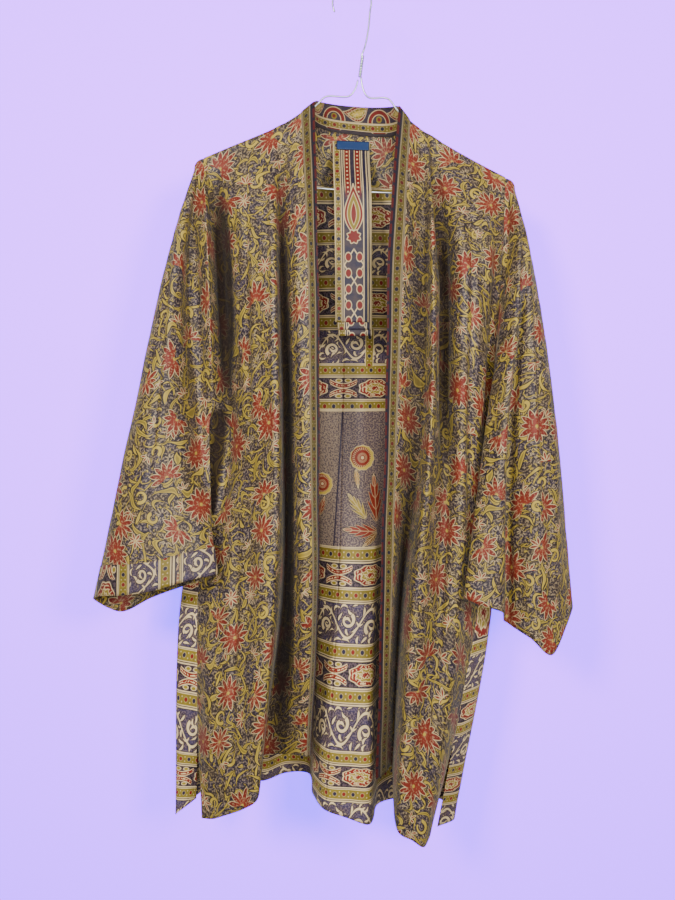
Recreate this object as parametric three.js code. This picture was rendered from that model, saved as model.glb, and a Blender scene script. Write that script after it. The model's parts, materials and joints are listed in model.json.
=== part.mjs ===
// A short kimono jacket hanging open on a wire hanger, in millimetres, +Z up.
// The origin is the inside top of the hanger's hook. The garment's front faces -Y,
// and +X is the wearer's left side. Right and left in the names are the wearer's.
import * as THREE from 'three';

// Thickness of cloth and wire
const CLOTH = 1.6;
const BAND_CLOTH = 2.0;
const LABEL_CLOTH = 1.0;
const WIRE = 2.4;
const SEAM_GAP = 0.3;
const BAND_SETBACK = 0.8;
const SIDE_SETBACK = 0.5;

// Heights of the levels that every fold table names
const CHEST = -345;
const UNDERARM = -590;
const HIP = -800;
const SLIT = -990;

// Steps of the walls: between two fold lines, and down from one level to the next
const STEPS_BETWEEN_FOLDS = 2;
const BODY_STEPS = [5, 3, 3, 2, 2];
const SLEEVE_STEPS = [5, 3, 4, 1];

// The shoulder edge lies LIFT from the wire's centre and rolls out over it to ROLL_OUT
const LIFT = 4.0;
const ROLL_DROP = 5.0;
const ROLL_OUT = 3.3;
const EDGE_OUT = CLOTH / 2 + SEAM_GAP / 2;

const CUFF_BAND = 42;
const FRONT_BAND_EDGE = { right: -48, left: 61 };
const FRONT_BAND_SEAM = { right: -66, left: 76 };

// Hanger sizes
const HOOK_RADIUS = 25;
const HOOK_OPENS_AT = 205;
const TWIST_TURNS = 4;
const TWIST_SLACK = 0.5;
const TWIST_TOP = new THREE.Vector3(14, 0, -90);
const TWIST_FOOT = new THREE.Vector3(10.5, 0, -116);
const ARM_END_RADIUS = 9;
const ARM_END = { right: { x: -194.5, z: -233.5 }, left: { x: 202.5, z: -259 } };
const BAR_SAG = 6.5;

// Turns rows of values into objects that have the named columns.
function table(columns, rows) {
  return rows.map((row) => Object.fromEntries(columns.map((name, i) => [name, row[i]])));
}

// Centre line of the wire arms where the shoulders lie on them.
const ARMS = {
  right: table(['x', 'z'], [[-198, -225.2], [-156, -208], [-89, -180], [-62, -163.5], [-47, -152]]),
  left: table(['x', 'z'], [[58, -156], [75, -176], [102, -194.5], [155, -224.5], [207, -251]]),
};

// Smooth value through stops {at, value}. A stop marked corner has no shared tangent.
function through(stops, at) {
  const last = stops.length - 2;
  let i = 0;
  while (i < last && (stops[i + 1].at - at) * (stops[i + 1].at - stops[0].at) < 0) {
    i += 1;
  }
  const slope = (k) => (stops[k + 1].value - stops[k].value) / (stops[k + 1].at - stops[k].at);
  const own = slope(i);
  const before = i === 0 || stops[i].corner ? own : (slope(i - 1) + own) / 2;
  const after = i === last || stops[i + 1].corner ? own : (slope(i + 1) + own) / 2;
  const span = stops[i + 1].at - stops[i].at;
  const t = (at - stops[i].at) / span;
  return (
    (2 * t ** 3 - 3 * t ** 2 + 1) * stops[i].value +
    (t ** 3 - 2 * t ** 2 + t) * span * before +
    (3 * t ** 2 - 2 * t ** 3) * stops[i + 1].value +
    (t ** 3 - t ** 2) * span * after
  );
}

function armZ(x) {
  const arm = x < 0 ? ARMS.right : ARMS.left;
  return through(arm.map((stop) => ({ at: stop.x, value: stop.z })), x);
}

// Height of the shoulder edge: LIFT above the wire, square to its slope.
function shoulderZ(x) {
  const slope = armZ(x + 0.5) - armZ(x - 0.5);
  return armZ(x) + LIFT * Math.hypot(1, slope);
}

// Cloth wall

// Direction square to the cloth at each point of a grid.
function gridNormals(grid) {
  const lastRow = grid.length - 1;
  const lastColumn = grid[0].length - 1;
  return grid.map((row, r) => row.map((_, c) => {
    const across = new THREE.Vector3().subVectors(
      grid[r][Math.min(c + 1, lastColumn)], grid[r][Math.max(c - 1, 0)]);
    const down = new THREE.Vector3().subVectors(
      grid[Math.min(r + 1, lastRow)][c], grid[Math.max(r - 1, 0)][c]);
    return across.cross(down).normalize();
  }));
}

// Closed wall of the given thickness about a grid of points, rows down and columns across.
function clothWall(grid, thickness, normals = gridNormals(grid)) {
  const rows = grid.length;
  const columns = grid[0].length;
  const positions = [];
  for (const side of [thickness / 2, -thickness / 2]) {
    for (let r = 0; r < rows; r += 1) {
      for (let c = 0; c < columns; c += 1) {
        positions.push(...grid[r][c].clone().addScaledVector(normals[r][c], side).toArray());
      }
    }
  }
  const outer = ([r, c]) => r * columns + c;
  const inner = ([r, c]) => (rows + r) * columns + c;
  const faces = [];
  const quad = (a, b, c, d) => faces.push([a, b, c], [a, c, d]);
  for (let r = 0; r + 1 < rows; r += 1) {
    for (let c = 0; c + 1 < columns; c += 1) {
      quad(outer([r, c]), outer([r + 1, c]), outer([r + 1, c + 1]), outer([r, c + 1]));
      quad(inner([r, c]), inner([r, c + 1]), inner([r + 1, c + 1]), inner([r + 1, c]));
    }
  }
  const rim = rimOf(rows, columns);
  rim.forEach((p, i) => {
    const q = rim[(i + 1) % rim.length];
    quad(outer(q), outer(p), inner(p), inner(q));
  });
  return closedGeometry(positions, faces);
}

// The grid's edge as a loop: down the first column, along the hem, up and back.
function rimOf(rows, columns) {
  const rim = [];
  for (let r = 0; r < rows - 1; r += 1) rim.push([r, 0]);
  for (let c = 0; c < columns - 1; c += 1) rim.push([rows - 1, c]);
  for (let r = rows - 1; r > 0; r -= 1) rim.push([r, columns - 1]);
  for (let c = columns - 1; c > 0; c -= 1) rim.push([0, c]);
  return rim;
}

// Geometry from points and faces, turned so that the faces point outwards.
function closedGeometry(positions, faces) {
  const corner = (i) => new THREE.Vector3().fromArray(positions, 3 * i);
  const volume = faces.reduce(
    (sum, [a, b, c]) => sum + corner(a).dot(corner(b).cross(corner(c))), 0);
  const index = volume > 0 ? faces.flat() : faces.flatMap(([a, b, c]) => [a, c, b]);
  const geometry = new THREE.BufferGeometry();
  geometry.setAttribute('position', new THREE.Float32BufferAttribute(positions, 3));
  geometry.setIndex(index);
  geometry.computeVertexNormals();
  return geometry;
}

// Fold lines

// Heights of a fold line's points: its roll, then even steps from each level to the next.
function levelsDown(levels, steps) {
  const heights = [levels[0]];
  steps.forEach((count, i) => {
    for (let k = 1; k <= count; k += 1) {
      heights.push(THREE.MathUtils.lerp(levels[i], levels[i + 1], k / count));
    }
  });
  return heights;
}

// One fold line: its top edge, its roll over the shoulder, then smooth down to its hem.
function foldLine(top, roll, stops, levels, steps) {
  const line = [{ x: roll.x, y: roll.y, z: roll.z }, ...stops];
  const along = (axis) => line.map((stop) => ({
    at: stop.z, value: stop[axis], corner: stop.corner }));
  const points = levelsDown([roll.z, ...levels], steps).map((z) => new THREE.Vector3(
    through(along('x'), z), through(along('y'), z), z));
  return [top, ...points];
}

// Fills in the surface between fold lines with a smooth curve across each row.
function spreadFolds(lines, stepsBetween) {
  return lines[0].map((_, r) => {
    const across = new THREE.CatmullRomCurve3(
      lines.map((line) => line[r]), false, 'centripetal');
    return across.getPoints((lines.length - 1) * stepsBetween);
  });
}

// Draws the first or last column back from its seam, within the cloth.
function drawBack(grid, first, distance) {
  for (const row of grid) {
    const edge = first ? 0 : row.length - 1;
    const next = row[first ? 1 : edge - 1];
    const step = new THREE.Vector3().subVectors(next, row[edge]).setLength(distance);
    row[edge] = row[edge].clone().add(step);
  }
}

// Fronts and back

const BODY_COLUMNS = [
  'fold', 'xTop', 'xChest', 'yChest', 'xUnderarm', 'yUnderarm', 'xHip', 'yHip',
  'xHem', 'yHem', 'zHem', 'xSlit', 'ySlit',
];

const RIGHT_FRONT = table(BODY_COLUMNS, [
  ['armhole and side', -194.5, -186, -38, -185, -13, -208, -20, -201, -58, -1097, -211, -24],
  ['armhole valley', -186, -176, -8, -166, -5, -193, -30, -187, -64, -1095],
  ['face, outer', -158, -150, -30, -147, -30, -168, -46, -168, -77, -1083],
  ['face, middle', -127, -123, -48, -119, -56, -132, -70, -142, -88, -1068],
  ['ridge', -108, -101, -58, -95, -72, -102, -86, -123, -95, -1052],
  ['valley', -93, -92, -34, -89, -28, -91, -25, -123, -2, -1037],
  ['rise', -82, -80, -45, -77, -45, -80, -40, -93, -6, -1033],
  ['band ridge', -72, -67, -56, -64, -62, -62, -62, -72, -17, -1029],
  ['band seam', FRONT_BAND_SEAM.right, -57, -58, -54, -62, -52, -60, -62, -20, -1029],
]);

const RIGHT_BAND_EDGE = table(BODY_COLUMNS, [
  ['front edge', FRONT_BAND_EDGE.right, -44, -53, -42, -55, -45, -50, -56, -13, -1031],
]);

const LEFT_FRONT = table(BODY_COLUMNS, [
  ['band seam', FRONT_BAND_SEAM.left, 65, -60, 57, -63, 53, -52, 50, -12, -1054],
  ['valley by the band', 93, 93, -36, 86, -38, 68, -15, 58, 8, -1057],
  ['ridge', 100, 102, -58, 99, -71, 80, -81, 60, -95, -1095],
  ['upper valley', 106, 119, -30, 121, -35, 113, -56, 78, -92, -1108],
  ['face, inner', 138, 139, -54, 142, -56, 135, -62, 94, -86, -1121],
  ['face, outer', 170, 169, -48, 166, -40, 157, -42, 103, -70, -1118],
  ['armhole and side', 202.5, 198, -17, 186, -12, 175, -20, 109, -50, -1114, 142, -32],
]);

const LEFT_BAND_EDGE = table(BODY_COLUMNS, [
  ['front edge', FRONT_BAND_EDGE.left, 46, -55, 42, -60, 38, -50, 35, -26, -1059],
]);

const CENTRE_BACK_SEAM = 'centre fold, front';

const BACK = table(BODY_COLUMNS, [
  ['right side', -194.5, -195, 30, -187, -5, -208, -20, -217, -8, -1096, -211, -24],
  ['right fold', -188, -183, 42, -188, 14, -234, 2, -247, -8, -1120],
  ['right valley', -166, -160, 50, -168, 42, -200, 44, -214, 56, -1116],
  ['right ridge', -140, -135, 42, -137, 56, -152, 76, -170, 94, -1116],
  ['right inner valley', -113, -108, 52, -108, 42, -114, 47, -131, 72, -1112],
  ['right inner ridge', -86, -81, 46, -80, 58, -86, 78, -97, 97, -1112],
  ['right centre valley', -57, -52, 51, -54, 46, -58, 60, -64, 92, -1110],
  ['centre fold, right', -43, -35, 46, -36, 40, -42, 26, -54, 26, -1109],
  ['centre fold, front', -21, -10, 43, -12, 37, -18, 11, -36, -11, -1112],
  ['centre fold, middle', 5, 19, 44, 14, 40, 8, 6, -4, -18, -1120],
  ['centre fold, left', 33, 44, 48, 40, 48, 30, 9, 25, -20, -1128],
  ['left centre valley', 55, 63, 51, 62, 58, 47, 35, 39, 26, -1124],
  ['left inner ridge', 68, 86, 45, 88, 46, 72, 62, 66, 58, -1132],
  ['left inner valley', 96, 114, 51, 115, 58, 108, 76, 92, 72, -1132],
  ['left ridge', 128, 140, 43, 142, 46, 142, 52, 112, 52, -1130],
  ['left valley', 160, 167, 47, 170, 50, 178, 56, 134, 56, -1132],
  ['left fold', 190, 191, 42, 190, 20, 198, 8, 148, 6, -1134],
  ['left side', 202.5, 198, 30, 188, -4, 175, -20, 122, -8, -1138, 142, -32],
]);

// The back of the neck, from the right shoulder round to the left one.
const NECK = table(['stop', 'xEdge', 'xSeam', 'y', 'zEdge', 'zSeam'], [
  ['right shoulder', -48, -66, 0.9, -148.5, -160.5],
  ['right turn', -47, -57, 13, -142, -167],
  ['right back', -39, -43, 27, -139.5, -174],
  ['right of centre', -20, -21, 34, -140.5, -178],
  ['centre back', 5, 5, 35, -142.5, -181],
  ['left of centre', 32, 33, 34, -144, -184],
  ['left back', 52, 55, 27, -145.5, -185.5],
  ['left turn', 61, 68, 13, -149, -182],
  ['left shoulder', 61.5, 76, 0.9, -156.5, -172],
]);

// The stops of a fold line in the body, from the chest down.
function bodyStops(fold) {
  const onSeam = fold.xSlit !== undefined;
  const stops = [
    { x: fold.xChest, y: fold.yChest, z: CHEST },
    { x: fold.xUnderarm, y: fold.yUnderarm, z: UNDERARM, corner: onSeam },
    { x: fold.xHip, y: fold.yHip, z: HIP },
    { x: fold.xHem, y: fold.yHem, z: fold.zHem },
  ];
  if (onSeam) {
    stops.splice(3, 0, { x: fold.xSlit, y: fold.ySlit, z: SLIT, corner: true });
  }
  return stops;
}

// A fold line that starts on the shoulder seam; face is -1 in front and 1 behind.
function shoulderLine(fold, face) {
  const z = shoulderZ(fold.xTop);
  const top = new THREE.Vector3(fold.xTop, face * EDGE_OUT, z);
  const roll = new THREE.Vector3(fold.xTop, face * ROLL_OUT, z - ROLL_DROP);
  return foldLine(top, roll, bodyStops(fold), [CHEST, UNDERARM, HIP, SLIT, fold.zHem], BODY_STEPS);
}

// A fold line of the back that starts under the neck band.
function neckLine(fold) {
  const along = (column) => through(
    NECK.map((stop) => ({ at: stop.xSeam, value: stop[column] })), fold.xTop);
  const top = new THREE.Vector3(fold.xTop, along('y'), along('zSeam') - SEAM_GAP - BAND_CLOTH / 2);
  const roll = top.clone().add(new THREE.Vector3(0, 0.5, -ROLL_DROP));
  return foldLine(top, roll, bodyStops(fold), [CHEST, UNDERARM, HIP, SLIT, fold.zHem], BODY_STEPS);
}

function frontPanel(folds, sideIsFirst) {
  const lines = folds.map((fold) => shoulderLine(fold, -1));
  const grid = spreadFolds(lines, STEPS_BETWEEN_FOLDS);
  drawBack(grid, sideIsFirst, SIDE_SETBACK);
  drawBack(grid, !sideIsFirst, BAND_SETBACK);
  return clothWall(grid, CLOTH);
}

function frontBand(seamFold, edgeFold) {
  const lines = [seamFold, edgeFold].map((fold) => shoulderLine(fold, -1));
  const grid = spreadFolds(lines, 2);
  drawBack(grid, true, BAND_SETBACK);
  return clothWall(grid, BAND_CLOTH);
}

// The back's two halves, either side of the seam that runs down its centre.
function backPanels() {
  const lines = BACK.map((fold) => {
    const underNeck = fold.xTop > FRONT_BAND_SEAM.right && fold.xTop < FRONT_BAND_SEAM.left;
    return underNeck ? neckLine(fold) : shoulderLine(fold, 1);
  });
  const grid = spreadFolds(lines, STEPS_BETWEEN_FOLDS);
  drawBack(grid, true, SIDE_SETBACK);
  drawBack(grid, false, SIDE_SETBACK);
  const normals = gridNormals(grid);
  const seam = BACK.findIndex((fold) => fold.fold === CENTRE_BACK_SEAM) * STEPS_BETWEEN_FOLDS;
  const halves = [[0, seam + 1], [seam, grid[0].length]].map(([from, to], half) => {
    const part = grid.map((row) => row.slice(from, to));
    drawBack(part, half === 1, SEAM_GAP / 2);
    return clothWall(part, CLOTH, normals.map((row) => row.slice(from, to)));
  });
  return { right: halves[0], left: halves[1] };
}

// The band round the back of the neck, from its free edge to its seam.
function neckBand() {
  const edge = NECK.map((stop) => new THREE.Vector3(stop.xEdge, stop.y, stop.zEdge));
  const seam = NECK.map((stop) => new THREE.Vector3(stop.xSeam, stop.y, stop.zSeam));
  const rows = [0, 0.5, 1].map((t) => {
    const points = edge.map((point, i) => new THREE.Vector3().lerpVectors(point, seam[i], t));
    return new THREE.CatmullRomCurve3(points, false, 'centripetal').getPoints(24);
  });
  return clothWall(rows, BAND_CLOTH);
}

// Sleeves

const SLEEVE_COLUMNS = [
  'fold', 'turn', 'face', 'xChest', 'yChest', 'xUnderarm', 'yUnderarm', 'xCuff', 'yCuff', 'zCuff',
];

// turn is the angle, in degrees, at which the fold leaves the end of the hanger's arm:
// 90 is straight up and 0 straight out. face is -1 in front, 1 behind, 0 on the outer fold.
const RIGHT_SLEEVE = table(SLEEVE_COLUMNS, [
  ['front seam', 80, -1, -190, -38, -190, -20, -183, -49, -766],
  ['armhole valley', 70, -1, -214, -12, -202, -18, -176, -62, -763],
  ['inner face', 55, -1, -219, -33, -222, -50, -214, -79, -768],
  ['front face', 40, -1, -227, -38, -246, -61, -247, -85, -777],
  ['outer face', 22, -1, -237, -27, -272, -57, -289, -78, -786],
  ['front of the fold', 10, -0.7, -241, -14, -290, -40, -328, -58, -793],
  ['outer fold', 0, 0, -243, 0, -299, -12, -346, -30, -805],
  ['back of the fold', 10, 0.7, -241, 13, -291, 8, -333, -12, -822],
  ['outer back', 22, 1, -236, 24, -277, 17, -315, -6, -829],
  ['back face', 45, 1, -222, 34, -252, 20, -275, -4, -810],
  ['inner back', 65, 1, -210, 39, -222, 10, -228, -22, -789],
  ['back seam', 80, 1, -199, 34, -193, -14, -186, -45, -769],
]);

const LEFT_SLEEVE = table(SLEEVE_COLUMNS, [
  ['front seam', 80, -1, 202, -18, 190, -25, 166, -52, -800],
  ['inner edge', 72, -1, 204, -24, 171, -50, 144, -75, -790],
  ['flap', 64, -1, 209, -36, 180, -68, 162, -89, -796],
  ['flap ridge', 56, -1, 215, -44, 194, -77, 192, -84, -807],
  ['valley', 46, -1, 221, -38, 205, -46, 207, -44, -833],
  ['face', 34, -1, 228, -34, 237, -60, 233, -66, -847],
  ['lowest point', 18, -1, 233, -22, 262, -46, 262, -62, -871],
  ['front of the fold', 8, -0.7, 236, -11, 273, -28, 284, -48, -838],
  ['outer fold', 0, 0, 237, 0, 277, -8, 297, -32, -812],
  ['back of the fold', 12, 0.8, 235, 13, 272, 10, 291, -10, -815],
  ['back face', 35, 1, 225, 28, 250, 22, 258, 0, -822],
  ['inner back', 62, 1, 211, 36, 218, 14, 208, -20, -816],
  ['back seam', 80, 1, 202, 30, 192, -17, 172, -44, -804],
]);

// A sleeve's fold line starts beside the rounded end of the hanger's arm.
function sleeveLine(fold, side) {
  const centre = ARM_END[side];
  const outward = side === 'right' ? -1 : 1;
  const angle = THREE.MathUtils.degToRad(fold.turn);
  const beside = (radius, y) => new THREE.Vector3(
    centre.x + outward * radius * Math.cos(angle), y, centre.z + radius * Math.sin(angle));
  const top = beside(ARM_END_RADIUS + LIFT, fold.face * EDGE_OUT);
  const roll = top.clone().add(new THREE.Vector3(0, 0, -ROLL_DROP));
  roll.y = fold.face * ROLL_OUT;
  const stops = [
    { x: fold.xChest, y: fold.yChest, z: CHEST },
    { x: fold.xUnderarm, y: fold.yUnderarm, z: UNDERARM },
    { x: fold.xCuff, y: fold.yCuff, z: fold.zCuff },
  ];
  const levels = [CHEST, UNDERARM, fold.zCuff + CUFF_BAND, fold.zCuff];
  return foldLine(top, roll, stops, levels, SLEEVE_STEPS);
}

function sleeveGrid(folds, side) {
  return spreadFolds(folds.map((fold) => sleeveLine(fold, side)), STEPS_BETWEEN_FOLDS);
}

// The sleeve's last rows are its cuff band, a strip of its own below a seam.
function splitAtCuff(grid) {
  const seam = grid.length - 1 - SLEEVE_STEPS.at(-1);
  const apart = (row, towards) => row.map((point, i) => point.clone().add(
    new THREE.Vector3().subVectors(towards[i], point).setLength(SEAM_GAP / 2)));
  const sleeve = [...grid.slice(0, seam), apart(grid[seam], grid[seam - 1])];
  const band = [apart(grid[seam], grid[seam + 1]), ...grid.slice(seam + 1)];
  return { sleeve, band };
}

// Belt and label

const BELT_LAYER = 2.4;
const BELT_FRONT_END = -434;

// The belt's middle layer, from its lower fold up over the hanger's bar to the label.
const BELT = table(['x', 'y', 'z'], [
  [5, -2.6, -452], [5, -3.2, -400], [4.5, -3.6, -340], [4, -3.4, -290], [3.5, -2.9, -264],
  [3, 0.5, -252], [2.5, 9, -238], [2, 21, -219], [2, 30.5, -203], [2, 32.6, -190],
]);
const BELT_WIDTH = 45;
const BELT_SHIFT = 4.5;

// Points of the belt's path moved out by a number of layers, and its sideways shift.
function beltLayer(layer) {
  return BELT.map((stop, i) => {
    const before = BELT[Math.max(i - 1, 0)];
    const after = BELT[Math.min(i + 1, BELT.length - 1)];
    const along = new THREE.Vector2(after.y - before.y, after.z - before.z).normalize();
    const out = layer * BELT_LAYER;
    return new THREE.Vector3(
      stop.x - layer * BELT_SHIFT, stop.y - along.y * out, stop.z + along.x * out);
  });
}

function beltGeometry() {
  const middle = beltLayer(0);
  const front = beltLayer(1).reverse();
  const fold = new THREE.Vector3().lerpVectors(middle.at(-1), front[0], 0.5);
  fold.z += BELT_LAYER / 2;
  front[front.length - 1].z = BELT_FRONT_END;
  const path = new THREE.CatmullRomCurve3([...middle, fold, ...front], false, 'centripetal');
  const grid = path.getPoints((middle.length + front.length) * 2).map((point) => (
    [-0.5, 0, 0.5].map((t) => point.clone().add(new THREE.Vector3(t * BELT_WIDTH, 0, 0)))));
  return clothWall(grid, CLOTH);
}

const LABEL = { xRight: -20, xLeft: 24, top: -189.5, foot: -201.5 };

// The label lies on the belt's front layer.
function labelGeometry() {
  const front = beltLayer(1);
  const out = (CLOTH + LABEL_CLOTH) / 2 + SEAM_GAP;
  const frontY = (z) => through(
    front.map((point) => ({ at: point.z, value: point.y })), z);
  const grid = [LABEL.top, LABEL.foot].map((z) => (
    [LABEL.xRight, LABEL.xLeft].map((x) => new THREE.Vector3(x, frontY(z) - out, z))));
  return clothWall(grid, LABEL_CLOTH);
}

// Hanger

// Wire along a smooth line through points, with round section and closed ends.
function wireGeometry(points, steps, sides) {
  const section = new THREE.Shape();
  for (let i = 0; i < sides; i += 1) {
    const angle = (2 * Math.PI * i) / sides;
    const x = (WIRE / 2) * Math.cos(angle);
    const y = (WIRE / 2) * Math.sin(angle);
    if (i === 0) section.moveTo(x, y);
    else section.lineTo(x, y);
  }
  section.closePath();
  const extrudePath = new THREE.CatmullRomCurve3(points, false, 'centripetal');
  return new THREE.ExtrudeGeometry(section, { steps, extrudePath, bevelEnabled: false });
}

const inPlane = (x, z) => new THREE.Vector3(x, 0, z);

function arcPoints(centre, radius, fromDegrees, toDegrees, count) {
  const points = [];
  for (let i = 0; i <= count; i += 1) {
    const angle = THREE.MathUtils.degToRad(
      THREE.MathUtils.lerp(fromDegrees, toDegrees, i / count));
    points.push(inPlane(
      centre.x + radius * Math.cos(angle), centre.z + radius * Math.sin(angle)));
  }
  return points;
}

// One of the two strands of the twist, from its top to its foot.
function twistStrand(phaseDegrees) {
  const radius = WIRE / 2 + TWIST_SLACK;
  const axis = new THREE.Vector3().subVectors(TWIST_FOOT, TWIST_TOP).normalize();
  const depth = new THREE.Vector3(0, 1, 0);
  const side = new THREE.Vector3().crossVectors(depth, axis);
  const count = TWIST_TURNS * 8;
  const points = [];
  for (let i = 0; i <= count; i += 1) {
    const angle = THREE.MathUtils.degToRad(phaseDegrees + (360 * TWIST_TURNS * i) / count);
    points.push(new THREE.Vector3().lerpVectors(TWIST_TOP, TWIST_FOOT, i / count)
      .addScaledVector(side, radius * Math.cos(angle))
      .addScaledVector(depth, radius * Math.sin(angle)));
  }
  return points;
}

function hookGeometry() {
  const centre = { x: 0, z: WIRE / 2 - HOOK_RADIUS };
  const bend = arcPoints(centre, HOOK_RADIUS, HOOK_OPENS_AT, -18, 14);
  const stem = [inPlane(21.5, -55), inPlane(17.5, -76)];
  return wireGeometry([...bend, ...stem, ...twistStrand(0)], 96, 8);
}

// Points along an arm under the shoulder, from one x to another.
function armPoints(fromX, toX, count) {
  const points = [];
  for (let i = 0; i <= count; i += 1) {
    const x = THREE.MathUtils.lerp(fromX, toX, i / count);
    points.push(inPlane(x, armZ(x)));
  }
  return points;
}

function leftArmGeometry() {
  const neck = [inPlane(15, -132), inPlane(22, -142), inPlane(47, -143.5)];
  return wireGeometry([...twistStrand(180), ...neck, ...armPoints(58, 205, 12)], 84, 6);
}

function rightArmGeometry() {
  const neck = [inPlane(8, -120.5), inPlane(4, -132), inPlane(-4, -140.5), inPlane(-34, -141)];
  return wireGeometry([...neck, ...armPoints(-45, -196, 12)], 44, 6);
}

// The lower bar, with the rounded end that meets each arm.
function barGeometry() {
  const { right, left } = ARM_END;
  const rightEnd = arcPoints(right, ARM_END_RADIUS, 118, 262, 8);
  const leftEnd = arcPoints(left, ARM_END_RADIUS, -94, 56, 8);
  const from = rightEnd.at(-1);
  const to = leftEnd[0];
  const bar = [0.06, 0.5, 0.94].map((t) => {
    const point = new THREE.Vector3().lerpVectors(from, to, t);
    point.z -= BAR_SAG * 4 * t * (1 - t);
    return point;
  });
  return wireGeometry([...rightEnd, ...bar, ...leftEnd], 64, 6);
}

// Assembly

const PRINTED_CLOTH = { color: 0x7d6f5c, roughness: 0.62, metalness: 0 };
const BORDER_CLOTH = { color: 0x8a7434, roughness: 0.62, metalness: 0 };
const BELT_CLOTH = { color: 0x9a5a3e, roughness: 0.62, metalness: 0 };
const LABEL_WEAVE = { color: 0x0d3b7a, roughness: 0.55, metalness: 0 };
const STEEL = { color: 0xb9c2c6, roughness: 0.28, metalness: 1 };

const kimono = new THREE.Group();

function add(name, geometry, look) {
  const mesh = new THREE.Mesh(geometry, new THREE.MeshStandardMaterial(look));
  mesh.name = name;
  kimono.add(mesh);
}

const back = backPanels();
const rightSleeve = splitAtCuff(sleeveGrid(RIGHT_SLEEVE, 'right'));

add('right_back_panel', back.right, PRINTED_CLOTH);
add('left_back_panel', back.left, PRINTED_CLOTH);
add('right_front_panel', frontPanel(RIGHT_FRONT, true), PRINTED_CLOTH);
add('left_front_panel', frontPanel(LEFT_FRONT, false), PRINTED_CLOTH);
add('right_front_band', frontBand(RIGHT_FRONT.at(-1), RIGHT_BAND_EDGE[0]), BORDER_CLOTH);
add('left_front_band', frontBand(LEFT_FRONT[0], LEFT_BAND_EDGE[0]), BORDER_CLOTH);
add('neck_band', neckBand(), BORDER_CLOTH);
add('right_sleeve', clothWall(rightSleeve.sleeve, CLOTH), PRINTED_CLOTH);
add('right_cuff_band', clothWall(rightSleeve.band, CLOTH), BORDER_CLOTH);
add('left_sleeve', clothWall(sleeveGrid(LEFT_SLEEVE, 'left'), CLOTH), PRINTED_CLOTH);
add('belt', beltGeometry(), BELT_CLOTH);
add('neck_label', labelGeometry(), LABEL_WEAVE);
add('hanger_hook', hookGeometry(), STEEL);
add('hanger_right_arm', rightArmGeometry(), STEEL);
add('hanger_left_arm', leftArmGeometry(), STEEL);
add('hanger_bar', barGeometry(), STEEL);

export default kimono;
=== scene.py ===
# %% [markdown]
# # A short kimono on a wire hanger
# The real garment is a light printed kimono jacket, unlined, hung open on a bent wire hanger.
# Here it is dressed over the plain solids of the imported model: each piece of cloth becomes a
# thin shell on the form of its solid, with finer folds, sewn edges and its own print.
# Everything lies in the part's frame: the hook carries it at the origin, the front faces -Y,
# +X is the wearer's left, and +Z is up. Right and left are the wearer's.

# %% Load the frame
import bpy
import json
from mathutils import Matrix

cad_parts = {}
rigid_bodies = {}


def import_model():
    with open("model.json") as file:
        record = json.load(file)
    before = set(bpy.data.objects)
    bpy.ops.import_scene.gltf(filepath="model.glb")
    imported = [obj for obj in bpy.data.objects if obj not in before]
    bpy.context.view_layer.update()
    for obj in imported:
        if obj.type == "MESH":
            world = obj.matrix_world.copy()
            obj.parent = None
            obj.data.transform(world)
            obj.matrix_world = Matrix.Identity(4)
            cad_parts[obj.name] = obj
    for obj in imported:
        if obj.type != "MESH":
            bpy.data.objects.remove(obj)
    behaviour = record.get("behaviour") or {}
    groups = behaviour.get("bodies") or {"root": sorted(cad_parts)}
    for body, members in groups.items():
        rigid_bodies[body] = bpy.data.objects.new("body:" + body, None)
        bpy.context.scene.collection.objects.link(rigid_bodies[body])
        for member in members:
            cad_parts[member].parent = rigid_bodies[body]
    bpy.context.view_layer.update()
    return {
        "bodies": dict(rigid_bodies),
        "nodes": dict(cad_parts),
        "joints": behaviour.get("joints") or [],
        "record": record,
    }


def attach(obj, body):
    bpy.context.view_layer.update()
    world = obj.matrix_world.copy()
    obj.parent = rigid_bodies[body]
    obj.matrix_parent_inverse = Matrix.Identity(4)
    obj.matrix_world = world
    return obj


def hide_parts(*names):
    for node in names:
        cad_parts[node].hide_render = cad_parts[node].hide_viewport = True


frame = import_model()

import json
import math
import bpy
import numpy as np

print("CAD nodes:", sorted(frame["nodes"]))

# %% [markdown]
# ## Levels and fold lines
# A hanging garment is easiest to read as fold lines: each ridge or valley starts on the
# shoulder seam and runs down to the hem. The tables give where each line lies at the levels
# chest, underarm, hip and hem, in millimetres, as the solids have them. A smooth curve goes
# down each line, and another goes across from line to line, so a few stops make the cloth.

# %% Levels, in millimetres
MM = 0.001
CHEST, UNDERARM, HIP, SLIT = -345.0, -590.0, -800.0, -990.0
# The seam lies LIFT over the wire; the cloth turns over it in ROLL_ROWS rows, from EDGE_OUT to
# ROLL_OUT in front of or behind the middle, and ends ROLL_DROP lower.
LIFT, ROLL_DROP, ROLL_OUT, EDGE_OUT = 4.0, 5.0, 3.3, 0.45
ROLL_ROWS = 5
# Rows of points from level to level, and columns from one fold line to the next.
BODY_ROWS = [34, 44, 38, 34, 24]
SLEEVE_ROWS = [26, 46, 40]
FRONT_STEPS, BACK_STEPS, SLEEVE_STEPS = 14, 10, 12
print("levels in mm, from chest to slit:", CHEST, UNDERARM, HIP, SLIT)


def between(t, start, end, start_slope, end_slope):
    """Cubic from start to end while t goes from 0 to 1, with the given slopes there."""
    return ((2 * t**3 - 3 * t**2 + 1) * start + (t**3 - 2 * t**2 + t) * start_slope
            + (3 * t**2 - 2 * t**3) * end + (t**3 - t**2) * end_slope)


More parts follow.
